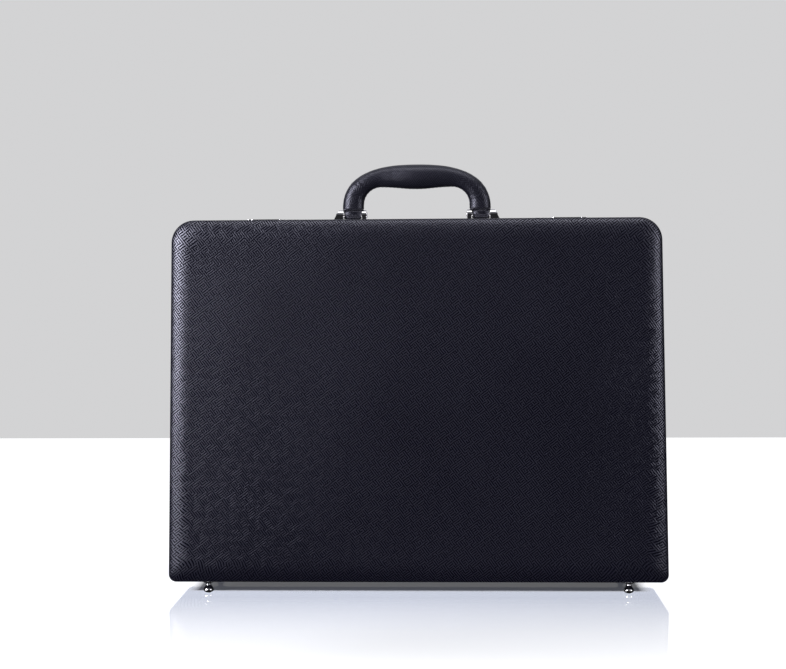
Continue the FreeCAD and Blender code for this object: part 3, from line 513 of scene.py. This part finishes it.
def finish_cad_nodes():
    """Give every carried-over node its slot's material and smooth curves."""
    slots = {part["node"]: part["material_slot"] for part in frame["record"]["subparts"]}
    for name, obj in frame["nodes"].items():
        obj.data.materials.clear()
        obj.data.materials.append(MATERIALS[slots[name]])
        obj.data.shade_smooth()
        obj.data.set_sharp_from_angle(angle=SHARP_EDGE)


# ---- The two leather covers ----
def roll_profile(face_y, rim_y, thickness):
    """Rings of a cover from the front face round the roll to the rim."""
    out = 1 if rim_y > face_y else -1
    rings = []
    for index in range(ROLL_STEPS + 1):
        turn = math.pi / 2 * index / ROLL_STEPS
        inset = ROLL_WIDTH * (1 - math.sin(turn))
        depth = ROLL_DEPTH * (1 - math.cos(turn))
        share = inset / ROLL_WIDTH
        lower = BOTTOM_CORNER + (INNER_BOTTOM_CORNER - BOTTOM_CORNER) * share
        upper = TOP_CORNER + (INNER_TOP_CORNER - TOP_CORNER) * share
        rings.append((inset, face_y + out * depth, lower, upper))
    start = rings[-1][1]
    end = rim_y - out * RIM_ROUND
    for index in range(1, 9):
        rings.append((0.0, start + (end - start) * index / 8, BOTTOM_CORNER, TOP_CORNER))
    for degrees in (30, 60, 90):
        turn = math.radians(degrees)
        inset = RIM_ROUND * (1 - math.cos(turn))
        rings.append((inset, end + out * RIM_ROUND * math.sin(turn),
                      BOTTOM_CORNER - inset, TOP_CORNER - inset))
    rings.append((thickness, rim_y, BOTTOM_CORNER - thickness, TOP_CORNER - thickness))
    rings.append((thickness, start, BOTTOM_CORNER - thickness, TOP_CORNER - thickness))
    for index in (10, 6, 3, 0):
        inset, y, lower, upper = rings[index]
        rings.append((inset + thickness * 0.4, y + out * thickness, lower, upper))
    return rings


def make_cover(name, face_y, rim_y, body, *nodes):
    """A padded leather half: crowned face, rolled edge and turned rim."""
    out = -1 if face_y < rim_y else 1

    def crowned(point, inset):
        share_x = min(abs(point.x) / (half_width(point.y) - ROLL_WIDTH), 1.0)
        share_z = min(abs(point.y - MIDDLE_Z) / (BODY_HEIGHT / 2 - ROLL_WIDTH), 1.0)
        rise = (1 - share_x ** 4) * (1 - share_z ** 4)
        ripple = noise.noise(Vector((point.x * 16, face_y * 90, point.y * 16)))
        return out * (CROWN * rise + COVER_RIPPLE * rise * ripple) if inset > 0 else 0.0

    mesh = tray_mesh(name, roll_profile(face_y, rim_y, LEATHER), crowned)
    cover = add_object(name, mesh, MATERIALS["case_leather"])
    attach(cover, body)
    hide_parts(*nodes)


# ---- Handle ----
def outside_reach(start, way):
    """How far it is from a point of the gap's edge to the grip's outer curve."""
    low, high = 0.0, 60 * MM
    for _ in range(40):
        middle = (low + high) / 2
        point = start + way * middle
        across = abs(point.x) / GRIP_HALF
        up = max(point.z - GRIP_FOOT, 0.0) / GRIP_RISE
        if across ** GRIP_POWER + up ** GRIP_POWER < 1:
            low = middle
        else:
            high = middle
    return low


def grip_station(s):
    """Centre, outward way and half thickness of the grip at a length along it."""
    flat = GAP_HALF - GAP_CORNER
    bend = GAP_CORNER * math.pi / 2
    run = abs(s)
    if run <= flat:
        bell = 0.5 + 0.5 * math.cos(math.pi * run / flat)
        start = Vector((run, 0, GAP_TOP - GAP_DIP * bell))
        way = Vector((0, 0, 1))
    elif run <= flat + bend:
        turn = (run - flat) / GAP_CORNER
        way = Vector((math.sin(turn), 0, math.cos(turn)))
        start = Vector((flat, 0, GAP_TOP - GAP_CORNER)) + way * GAP_CORNER
    else:
        start = Vector((GAP_HALF, 0, GAP_TOP - GAP_CORNER - (run - flat - bend)))
        way = Vector((1, 0, 0))
    reach = outside_reach(start, way)
    neck = 1 - smoothstep(*NECK_Z, start.z) if run > flat + bend else 0.0
    start = start + way * NECK_IN[0] * neck
    reach -= (NECK_IN[0] + NECK_IN[1]) * neck
    centre = start + way * reach / 2
    if s < 0:
        centre.x = -centre.x
        way.x = -way.x
    centre.y = HANDLE_Y
    return centre, way, reach / 2, neck


def grip_length():
    """Length along the gap's edge from the middle to a pivot."""
    straight = GAP_HALF - GAP_CORNER + GAP_CORNER * math.pi / 2
    return straight + GAP_TOP - GAP_CORNER - PIVOT_Z


def make_handle():
    """The sewn leather grip, from one pivot round to the other."""
    flat = GAP_HALF - GAP_CORNER
    bend = GAP_CORNER * math.pi / 2
    half_length = grip_length()
    around = GRIP_AROUND
    vertices = []
    uvs = []
    faces = []
    seam_path = []
    for index in range(GRIP_RINGS + 1):
        s = -half_length + 2 * half_length * index / GRIP_RINGS
        run = abs(s)
        centre, way, half, neck = grip_station(s)
        swell = 0.5 + 0.5 * math.cos(math.pi * min(run / (flat + 6 * MM), 1.0))
        legged = smoothstep(flat + bend * 0.3, flat + bend, run)
        deep = GRIP_HALF_DEPTH + GRIP_DEEPER * swell - LEG_SHALLOWER * legged
        deep = deep * (1 - neck) + NECK_HALF_DEPTH * neck
        creased = smoothstep(flat - 6 * MM, flat + 8 * MM, run)
        creased *= 1 - smoothstep(flat + bend - 2 * MM, flat + bend + 5 * MM, run)
        for k in range(around):
            angle = 2 * math.pi * k / around
            c = math.cos(angle)
            n = math.sin(angle)
            across = math.copysign(abs(c) ** 0.9, c)
            through = math.copysign(abs(n) ** 0.9, n)
            pucker = noise.noise(Vector((s * 700, across * 1.1, through * 0.9)))
            broad = noise.noise(Vector((s * 90, across, through)))
            crease = creased * PUCKER * pucker + GRIP_WAVES * broad * (1 - neck)
            turned = min(angle, 2 * math.pi - angle)
            seam = SEAM_DEPTH * math.exp(-(turned / SEAM_HALF_ANGLE) ** 2) * (1 - neck)
            point = (centre - way * across * (half + crease - seam)
                     + Vector((0, 1, 0)) * through * (deep + crease))
            vertices.append(point)
            uvs.append((angle * 9 * MM, s))
        if run < half_length - 9 * MM:
            seam_path.append((centre - way * (half - 0.1 * MM), way))
    for r in range(GRIP_RINGS):
        for k in range(around):
            following = (k + 1) % around
            faces.append((r * around + k, r * around + following,
                          (r + 1) * around + following, (r + 1) * around + k))
    close_leg(vertices, uvs, faces, 0, -half_length)
    close_leg(vertices, uvs, faces, GRIP_RINGS * around, half_length)
    mesh = mesh_from("handle_leather_grip", vertices, faces, uvs)
    grip = add_object("handle_leather_grip", mesh, MATERIALS["handle_leather"])
    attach(grip, "handle")
    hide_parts("handle_grip")
    rows = []
    for beside in (-1.5 * MM, 1.5 * MM):
        rows.append([place + Vector((0, beside, 0)) + way * 0.08 * MM
                     for place, way in seam_path])
    add_stitches("handle_stitches", rows, "handle", 0.28 * MM)


def close_leg(vertices, uvs, faces, start, s):
    """Round off a leg below its pivot with shrinking rings and a cap."""
    around = GRIP_AROUND
    centre = grip_station(s)[0]
    ring = [vertices[start + k].copy() for k in range(around)]
    previous = start
    for degrees in (20, 40, 60, 75):
        turn = math.radians(degrees)
        narrower = 0.25 + 0.75 * math.cos(turn) if degrees > 60 else 0.99
        first = len(vertices)
        for point in ring:
            shrunk = Vector((centre.x + (point.x - centre.x) * narrower,
                             centre.y + (point.y - centre.y) * math.cos(turn),
                             point.z - LEG_END_RADIUS * math.sin(turn)))
            vertices.append(shrunk)
            uvs.append((shrunk.x, shrunk.z))
        for k in range(around):
            following = (k + 1) % around
            faces.append((previous + k, previous + following, first + following, first + k))
        previous = first
    faces.append(tuple(previous + k for k in range(around)))


# ---- Stitches ----
STITCH_PITCH = 3.6 * MM
STITCH_LENGTH = 2.5 * MM


def add_stitches(name, rows, body, radius):
    """Short raised stitches along several paths, as one object."""
    vertices = []
    faces = []
    for path in rows:
        run = 0.0
        due = STITCH_PITCH / 2
        for a, b in zip(path, path[1:]):
            step = (b - a).length
            if run + step >= due and step > 0:
                way = (b - a) / step
                one_stitch(vertices, faces, a + way * (due - run), way, radius)
                due += STITCH_PITCH
            run += step
    obj = add_object(name, mesh_from(name, vertices, faces), MATERIALS["thread"])
    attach(obj, body)


def one_stitch(vertices, faces, middle, way, radius):
    """A six-sided stitch that dips into the leather at both ends."""
    side = way.cross(Vector((0.31, 0.87, 0.38))).normalized()
    other = way.cross(side)
    first = len(vertices)
    for share, size in ((-0.5, 0.45), (-0.3, 0.95), (0.0, 1.1), (0.3, 0.95), (0.5, 0.45)):
        for k in range(6):
            angle = math.pi * k / 3
            vertices.append(middle + way * STITCH_LENGTH * share
                            + side * radius * size * math.cos(angle)
                            + other * radius * size * math.sin(angle))
    for r in range(4):
        for k in range(6):
            following = (k + 1) % 6
            faces.append((first + r * 6 + k, first + r * 6 + following,
                          first + (r + 1) * 6 + following, first + (r + 1) * 6 + k))
    faces.append(tuple(first + k for k in range(6)))
    faces.append(tuple(first + 24 + k for k in range(6)))


# ---- Cloth linings ----
def make_lining(name, face_y, rim_y, body, node):
    """The cloth inside a half: walls, a bent foot and a softly padded face."""
    out = 1 if rim_y > face_y else -1
    inner_face = face_y + out * FACE_DEPTH
    rim = rim_y - out * FRAME_DEPTH
    inside = SHELL_INSET + CLOTH
    upper = TOP_CORNER - inside
    lower = CLOTH_CORNER
    profile = [(SHELL_INSET + CLOTH_BEND, inner_face - out * CLOTH, lower, upper),
               (SHELL_INSET, inner_face + out * (CLOTH_BEND - CLOTH), lower, upper),
               (SHELL_INSET, rim, lower, upper),
               (inside, rim, lower, upper)]
    foot = inner_face + out * CLOTH_BEND
    for index in range(1, 11):
        profile.append((inside, rim + (foot - rim) * index / 10, lower, upper))
    for degrees in (18, 36, 54, 72, 90):
        turn = math.radians(degrees)
        profile.append((inside + CLOTH_BEND * (1 - math.cos(turn)),
                        foot - out * CLOTH_BEND * math.sin(turn), lower, upper))

    def padded_face(point, inset):
        if inset < inside + CLOTH_BEND - 0.1 * MM:
            return 0.0
        share_x = min(abs(point.x) / (half_width(point.y) - 14 * MM), 1.0)
        share_z = min(abs(point.y - MIDDLE_Z) / (BODY_HEIGHT / 2 - 14 * MM), 1.0)
        rise = (1 - share_x ** 10) * (1 - share_z ** 10)
        ripple = noise.noise(Vector((point.x * 22, face_y * 70, point.y * 22)))
        return out * rise * (0.5 * MM + 0.25 * MM * ripple)

    lining = add_object(name, tray_mesh(name, profile, padded_face),
                        MATERIALS["lining_cloth"])
    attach(lining, body)
    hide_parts(node)


# ---- Pockets and pen loops in the lid ----
def closed_sheet(vertices, faces, columns, rows, front, back):
    """Add a closed sheet between two surfaces, each given over 0 to 1 twice."""
    first = len(vertices)
    for surface in (front, back):
        for j in range(rows + 1):
            for i in range(columns + 1):
                vertices.append(surface(i / columns, j / rows))
    layer = (columns + 1) * (rows + 1)

    def at(i, j, behind=0):
        return first + behind * layer + j * (columns + 1) + i

    for j in range(rows):
        for i in range(columns):
            faces.append((at(i, j), at(i + 1, j), at(i + 1, j + 1), at(i, j + 1)))
            faces.append((at(i, j, 1), at(i, j + 1, 1), at(i + 1, j + 1, 1), at(i + 1, j, 1)))
    border = [(i, 0) for i in range(columns)] + [(columns, j) for j in range(rows)]
    border += [(i, rows) for i in range(columns, 0, -1)] + [(0, j) for j in range(rows, 0, -1)]
    for here, there in zip(border, border[1:] + border[:1]):
        faces.append((at(*here), at(*there), at(*there, 1), at(*here, 1)))


def pocket_belly(x, z):
    """How far the big pocket's front stands out between its edges."""
    span = max(1 - (x / POCKET_HIGH.x) ** 2, 0.0)
    rise = (z - POCKET_LOW.z) / (POCKET_HIGH.z - POCKET_LOW.z)
    ripple = noise.noise(Vector((x * 14, 0.4, z * 14)))
    return span * min(max(rise, 0.0), 1.0) * (1.1 * MM + 0.5 * MM * ripple)


def pocket_panel(low_z, high_z, half, centre, y_near, y_far, dip=0.0, belly=1.0):
    """Two surfaces of a flat panel whose top edge dips in the middle."""
    def surface(y):
        def at(u, v):
            x = centre + half * (2 * u - 1)
            top = high_z - dip * math.exp(-((2 * u - 1) / 0.34) ** 4)
            z = low_z + (top - low_z) * v
            return Vector((x, y + belly * pocket_belly(x, z), z))
        return at
    return surface(y_far), surface(y_near)


def panel_edge(low_z, high_z, half, centre, y, inset):
    """A path down one side of a panel, along its foot and up the other side."""
    corners = [(centre - half + inset, high_z - inset), (centre - half + inset, low_z + inset),
               (centre + half - inset, low_z + inset), (centre + half - inset, high_z - inset)]
    path = []
    for (x0, z0), (x1, z1) in zip(corners, corners[1:]):
        steps = max(int(math.hypot(x1 - x0, z1 - z0) / (0.6 * MM)), 1)
        for k in range(steps):
            x = x0 + (x1 - x0) * k / steps
            z = z0 + (z1 - z0) * k / steps
            path.append(Vector((x, y + pocket_belly(x, z), z)))
    return path


def make_file_pocket():
    """The big pocket: a back, a fuller front with a bound edge, and folded gussets."""
    vertices = []
    faces = []
    low, high = POCKET_LOW, POCKET_HIGH
    half = high.x
    back = low.y + POCKET_LEATHER
    front = high.y - 1.8 * MM
    sheet = pocket_panel(low.z, high.z, half, 0, low.y, back, belly=0.0)
    closed_sheet(vertices, faces, 40, 24, *sheet)
    sheet = pocket_panel(low.z, high.z, half, 0, front, high.y, dip=POCKET_DIP)
    closed_sheet(vertices, faces, 110, 60, *sheet)
    sheet = pocket_panel(high.z - POCKET_HEM, high.z + 0.5 * MM, half + 0.4 * MM, 0,
                         high.y - 0.3 * MM, high.y + 0.7 * MM, dip=POCKET_DIP)
    closed_sheet(vertices, faces, 110, 6, *sheet)
    for sign in (-1, 1):
        closed_sheet(vertices, faces, 8, 40, *gusset(sign * half, back, front, sign))
    closed_sheet(vertices, faces, 60, 8, *foot_gusset(half, back, front))
    sides = panel_edge(low.z, high.z - POCKET_HEM, half, 0, high.y + 0.05 * MM, 3 * MM)
    hem = []
    for k in range(601):
        place = Vector((half * (2 * k / 600 - 1) * 0.985, 0, 0))
        u = place.x / half
        z = high.z - 12 * MM - POCKET_DIP * math.exp(-(u / 0.34) ** 4)
        hem.append(Vector((place.x, high.y + 0.75 * MM + pocket_belly(place.x, z), z)))
    add_stitches("pocket_stitches", [sides, hem], "lid", 0.3 * MM)
    mesh = mesh_from("file_pocket_leather", vertices, faces)
    pocket = add_object("file_pocket_leather", mesh, MATERIALS["folio_leather"])
    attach(pocket, "lid")
    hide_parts("file_pocket")


def gusset(x, back, front, sign):
    """Inner and outer surfaces of a side gusset that is folded inwards."""
    def surface(offset):
        def at(u, v):
            fold = math.sin(math.pi * u) * 1.6 * MM * (0.4 + 0.6 * v)
            z = POCKET_LOW.z + (POCKET_HIGH.z - POCKET_LOW.z - 4 * MM) * v
            return Vector((x - sign * (offset + fold), back + (front - back) * u, z))
        return at
    return surface(0.0), surface(POCKET_LEATHER)


def foot_gusset(half, back, front):
    """Inner and outer surfaces of the strip along the pocket's foot."""
    def surface(offset):
        def at(u, v):
            return Vector((half * (2 * u - 1), back + (front - back) * v,
                           POCKET_LOW.z + offset))
        return at
    return surface(0.0), surface(1.4 * MM)


def make_card_pockets():
    """Two columns of two sewn-on card pockets with thumb notches."""
    vertices = []
    faces = []
    rows = []
    middle = (CARDS_LOW.y + CARDS_HIGH.y) / 2
    half = CARD_HALF
    for centre in (-CARD_COLUMN_X, CARD_COLUMN_X):
        for low_z, high_z, near, far in (
                (CARDS_LOW.z, CARDS_HIGH.z, CARDS_LOW.y, middle),
                (CARDS_LOW.z + 8 * MM, CARDS_HIGH.z - 26 * MM, middle, CARDS_HIGH.y)):
            sheet = pocket_panel(low_z, high_z, half, centre, near, far, dip=7 * MM)
            closed_sheet(vertices, faces, 60, 30, *sheet)
            rows.append(panel_edge(low_z, high_z, half, centre, far + 0.05 * MM, 2.4 * MM))
    add_stitches("card_stitches", rows, "lid", 0.28 * MM)
    mesh = mesh_from("card_pockets_leather", vertices, faces)
    cards = add_object("card_pockets_leather", mesh, MATERIALS["folio_leather"])
    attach(cards, "lid")
    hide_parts("card_pockets")


def make_pen_loops():
    """Three arched leather bands for pens."""
    vertices = []
    faces = []
    rise = LOOPS_HIGH.y - LOOPS_LOW.y
    for x in PEN_LOOP_X:
        def arch(inner, x=x):
            def at(u, v):
                angle = math.pi * (1 - u)
                edge = 0.35 * MM * (2 * v - 1) ** 6
                wide = PEN_LOOP_HALF - inner - edge
                high = rise - inner - edge
                lift = abs(math.sin(angle)) ** 0.8
                return Vector((x + wide * math.cos(angle),
                               LOOPS_LOW.y + pocket_belly(x, LOOPS_LOW.z) + high * lift,
                               LOOPS_LOW.z + (LOOPS_HIGH.z - LOOPS_LOW.z) * v))
            return at
        closed_sheet(vertices, faces, 32, 10, arch(0.0), arch(POCKET_LEATHER))
    mesh = mesh_from("pen_loops_leather", vertices, faces)
    loops = add_object("pen_loops_leather", mesh, MATERIALS["folio_leather"])
    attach(loops, "lid")
    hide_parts("pen_loops")


# ---- Numbers on the wheels ----
NUMBER_SIZE = 2.9 * MM
NUMBER_RISE = 0.09 * MM


def make_numbers():
    """Painted numbers 0 to 9, wrapped round each wheel."""
    for wheel in sorted(name for name in frame["nodes"] if name.startswith("number_wheel")):
        low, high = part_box(wheel)
        middle = (low + high) / 2
        radius = (high.y - low.y) / 2
        work = bmesh.new()
        for digit in range(10):
            add_number(work, str(digit), middle, radius, 2 * math.pi * digit / 10)
        bmesh.ops.remove_doubles(work, verts=work.verts, dist=0.002 * MM)
        bmesh.ops.recalc_face_normals(work, faces=work.faces)
        name = wheel.replace("number_wheel", "numbers")
        mesh = bpy.data.meshes.new(name)
        work.to_mesh(mesh)
        work.free()
        numbers = add_object(name, mesh, MATERIALS["ivory_paint"], smooth=False)
        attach(numbers, wheel)


def add_number(work, text, middle, radius, turn):
    """One raised number on a wheel's rim."""
    curve = bpy.data.curves.new("number", "FONT")
    curve.body = text
    curve.size = NUMBER_SIZE
    curve.extrude = NUMBER_RISE
    curve.resolution_u = 3
    curve.align_x = "CENTER"
    curve.align_y = "CENTER"
    source = bpy.data.objects.new("number", curve)
    mesh = bpy.data.meshes.new_from_object(source)
    for vertex in mesh.vertices:
        x, y, z = vertex.co
        angle = turn - y / radius
        out = radius + z
        vertex.co = (middle.x - x, middle.y + out * math.sin(angle),
                     middle.z + out * math.cos(angle))
    work.from_mesh(mesh)
    bpy.data.meshes.remove(mesh)
    bpy.data.objects.remove(source)
    bpy.data.curves.remove(curve)


# ---- Building the stage ----
def floor_plane(name, z, material):
    """A floor that ends at the same height in the picture at every depth."""
    reach = FLOOR_FROM_CAMERA * (CAMERA_AT.z - z) / CAMERA_AT.z
    back = CAMERA_AT.y + reach
    wide = FLOOR_HALF_WIDTH
    lean = wide * math.tan(FLOOR_SKEW)
    corners = [(-wide, -wide, z), (wide, -wide, z), (wide, back + lean, z),
               (-wide, back - lean, z)]
    mesh = bpy.data.meshes.new(name)
    mesh.from_pydata(corners, [], [(0, 1, 2, 3)])
    obj = add_object(name, mesh, material, smooth=False)
    obj.visible_glossy = False


def glass_floor():
    """A clear polished sheet: a dark grey patch of painted shade under the case, a soft mirror
    in front.

    The mirror is strong at a low angle and fades as the sheet is seen from above.
    """
    finish = Finish("floor_sheet", (0.9, 0.9, 0.9), 0.5)
    tree = finish.tree
    where = finish.node("ShaderNodeTexCoord").outputs["Object"]
    split = finish.node("ShaderNodeSeparateXYZ", {0: where})
    beside = finish.math("ABSOLUTE", split.outputs[0])
    ahead = finish.math("ABSOLUTE", split.outputs[1])
    # The case's footprint. There the sheet turns into a dark grey diffuse patch, which is
    # painted shade that deepens the real contact shadow under the case.
    in_x = finish.remap(beside, 0.200, 0.212, 1.0, 0.0)
    in_y = finish.remap(ahead, 0.026, 0.034, 1.0, 0.0)
    shaded = finish.math("MULTIPLY", in_x, in_y)
    shade_pad_share = finish.math("MULTIPLY", shaded, 0.95)
    clear = finish.node("ShaderNodeBsdfTransparent")
    # Dark grey diffuse, not white: this is the painted shade patch under the case.
    white = finish.node("ShaderNodeBsdfDiffuse", {"Color": (0.2, 0.2, 0.24, 1)})
    body = finish.node("ShaderNodeMixShader", {0: shade_pad_share, 1: clear.outputs[0],
                                               2: white.outputs[0]})
    through = tuple(1 - c for c in MIRROR_TINT)
    rest = finish.node("ShaderNodeBsdfTransparent", {"Color": (*through, 1)})
    gloss = finish.node("ShaderNodeBsdfGlossy", {"Color": (*MIRROR_TINT, 1),
                                                 "Roughness": 0.05})
    mirror = finish.node("ShaderNodeAddShader", {0: gloss.outputs[0], 1: rest.outputs[0]})
    open_share = finish.math("MULTIPLY_ADD", shaded, -0.9, 1.0)
    near = finish.math("MULTIPLY", finish.remap(ahead, 0.06, 0.33, MIRROR_SHARE, 0.02),
                       finish.remap(beside, 0.24, 0.34, 1.0, 0.04))
    slant = finish.node("ShaderNodeLayerWeight", {"Blend": 0.5}).outputs["Facing"]
    low_look = finish.remap(slant, 0.55, 0.73, 0.10, 1.0)
    share = finish.math("MULTIPLY", finish.math("MULTIPLY", open_share, near), low_look)
    mixed = finish.node("ShaderNodeMixShader", {0: share, 1: body.outputs[0],
                                                2: mirror.outputs[0]})
    tree.links.new(mixed.outputs[0], tree.nodes["Material Output"].inputs[0])
    tree.nodes.remove(finish.shader)
    return finish.material


def white_floor():
    """The lit white ground below the clear sheet."""
    finish = Finish("floor_white", (0.4, 0.4, 0.4), 0.9)
    cloudy = finish.noise(finish.coords(), 3.0, 2)
    finish.link("Roughness", finish.math("MULTIPLY_ADD", cloudy, 0.1, 0.85))
    finish.put("Emission Color", (1, 1, 1, 1))
    finish.put("Emission Strength", FLOOR_GLOW)
    return finish.material


def make_stage():
    """A clear sheet at floor level over lit white ground."""
    floor_plane("floor_sheet", 0.0, glass_floor())
    floor_plane("floor_white", UNDER_FLOOR, white_floor())


def softbox(name, place, target, size, power, color=(1, 1, 1)):
    """A rectangular studio light turned to a place."""
    data = bpy.data.lights.new(name, "AREA")
    data.shape = "RECTANGLE"
    data.size, data.size_y = size
    data.energy = power
    data.color = color
    light = bpy.data.objects.new(name, data)
    light.location = place
    way = Vector(target) - light.location
    light.rotation_euler = way.to_track_quat("-Z", "Y").to_euler()
    bpy.context.scene.collection.objects.link(light)


def make_world():
    """Pale to the camera; dim round the case, with a bright low strip behind."""
    world = bpy.data.worlds.new("studio")
    bpy.context.scene.world = world
    world.use_nodes = True
    nodes = world.node_tree.nodes
    links = world.node_tree.links
    seen = nodes["Background"]
    seen.inputs[0].default_value = (0.65, 0.65, 0.658, 1)
    where = nodes.new("ShaderNodeTexCoord")
    split = nodes.new("ShaderNodeSeparateXYZ")
    links.new(where.outputs["Generated"], split.inputs[0])

    def ramp(value, low, high, start, end):
        made = nodes.new("ShaderNodeMapRange")
        for key, number in (("From Min", low), ("From Max", high),
                            ("To Min", start), ("To Max", end)):
            made.inputs[key].default_value = number
        links.new(value, made.inputs["Value"])
        return made.outputs[0]

    def combine(operation, first, second):
        made = nodes.new("ShaderNodeMath")
        made.operation = operation
        for index, value in enumerate((first, second)):
            if isinstance(value, float):
                made.inputs[index].default_value = value
            else:
                links.new(value, made.inputs[index])
        return made.outputs[0]

    behind = ramp(split.outputs[1], 0.86, 0.93, 0.0, 1.0)
    over = ramp(split.outputs[2], 0.03, 0.06, 0.0, 1.0)
    below = ramp(split.outputs[2], 0.30, 0.36, 1.0, 0.0)
    strip = combine("MULTIPLY", behind, combine("MULTIPLY", over, below))
    sky = ramp(split.outputs[2], 0.15, 0.80, 0.0, SKY)
    beyond = ramp(split.outputs[1], 0.20, 0.60, 0.0, 1.0)
    glow = combine("MULTIPLY", beyond, ramp(split.outputs[2], 0.15, 0.40, 0.0, GLOW))
    strength = combine("ADD", combine("ADD", strip, sky), combine("ADD", glow, AMBIENT))
    around = nodes.new("ShaderNodeBackground")
    around.inputs[0].default_value = (0.93, 0.94, 1, 1)
    links.new(strength, around.inputs[1])
    path = nodes.new("ShaderNodeLightPath")
    mix = nodes.new("ShaderNodeMixShader")
    links.new(path.outputs["Is Camera Ray"], mix.inputs[0])
    links.new(around.outputs[0], mix.inputs[1])
    links.new(seen.outputs[0], mix.inputs[2])
    links.new(mix.outputs[0], nodes["World Output"].inputs[0])


def make_lights():
    """A large key from the left, with a weak overhead and a weak fill at the right."""
    softbox("key_left", (-1.30, -1.05, 0.60), (0, 0, 0.2), (0.9, 1.1), 40, (0.95, 0.95, 1))
    softbox("overhead", (0, -0.40, 1.5), (0, 0, 0.2), (1.6, 0.5), 7)
    softbox("fill_right", (1.5, -0.9, 0.5), (0.1, 0, 0.2), (0.7, 1.0), 9, (0.95, 0.95, 1))


def make_camera():
    """Level with the upper part of the case and a little to the right."""
    data = bpy.data.cameras.new("camera")
    data.lens = CAMERA_LENS
    data.sensor_width = 36
    camera = bpy.data.objects.new("camera", data)
    camera.location = CAMERA_AT
    turn = Matrix.Rotation(CAMERA_TURN, 3, "Z")
    turn = turn @ Matrix.Rotation(math.pi / 2 - CAMERA_DOWN, 3, "X")
    turn = turn @ Matrix.Rotation(CAMERA_ROLL, 3, "Z")
    camera.rotation_euler = turn.to_euler()
    bpy.context.scene.collection.objects.link(camera)
    bpy.context.scene.camera = camera
    bpy.context.scene.view_settings.view_transform = "Standard"


make_camera()
make_stage()
make_world()
make_lights()
finish_cad_nodes()
make_cover("lid_leather", FRONT, LID_RIM, "lid", "lid_cover", "lid_padding")
make_cover("base_leather", BACK, BASE_RIM, "base", "base_cover", "base_padding")
make_handle()
make_lining("lid_cloth", FRONT, LID_RIM, "lid", "lid_lining")
make_lining("base_cloth", BACK, BASE_RIM, "base", "base_lining")
make_file_pocket()
make_card_pockets()
make_pen_loops()
make_numbers()
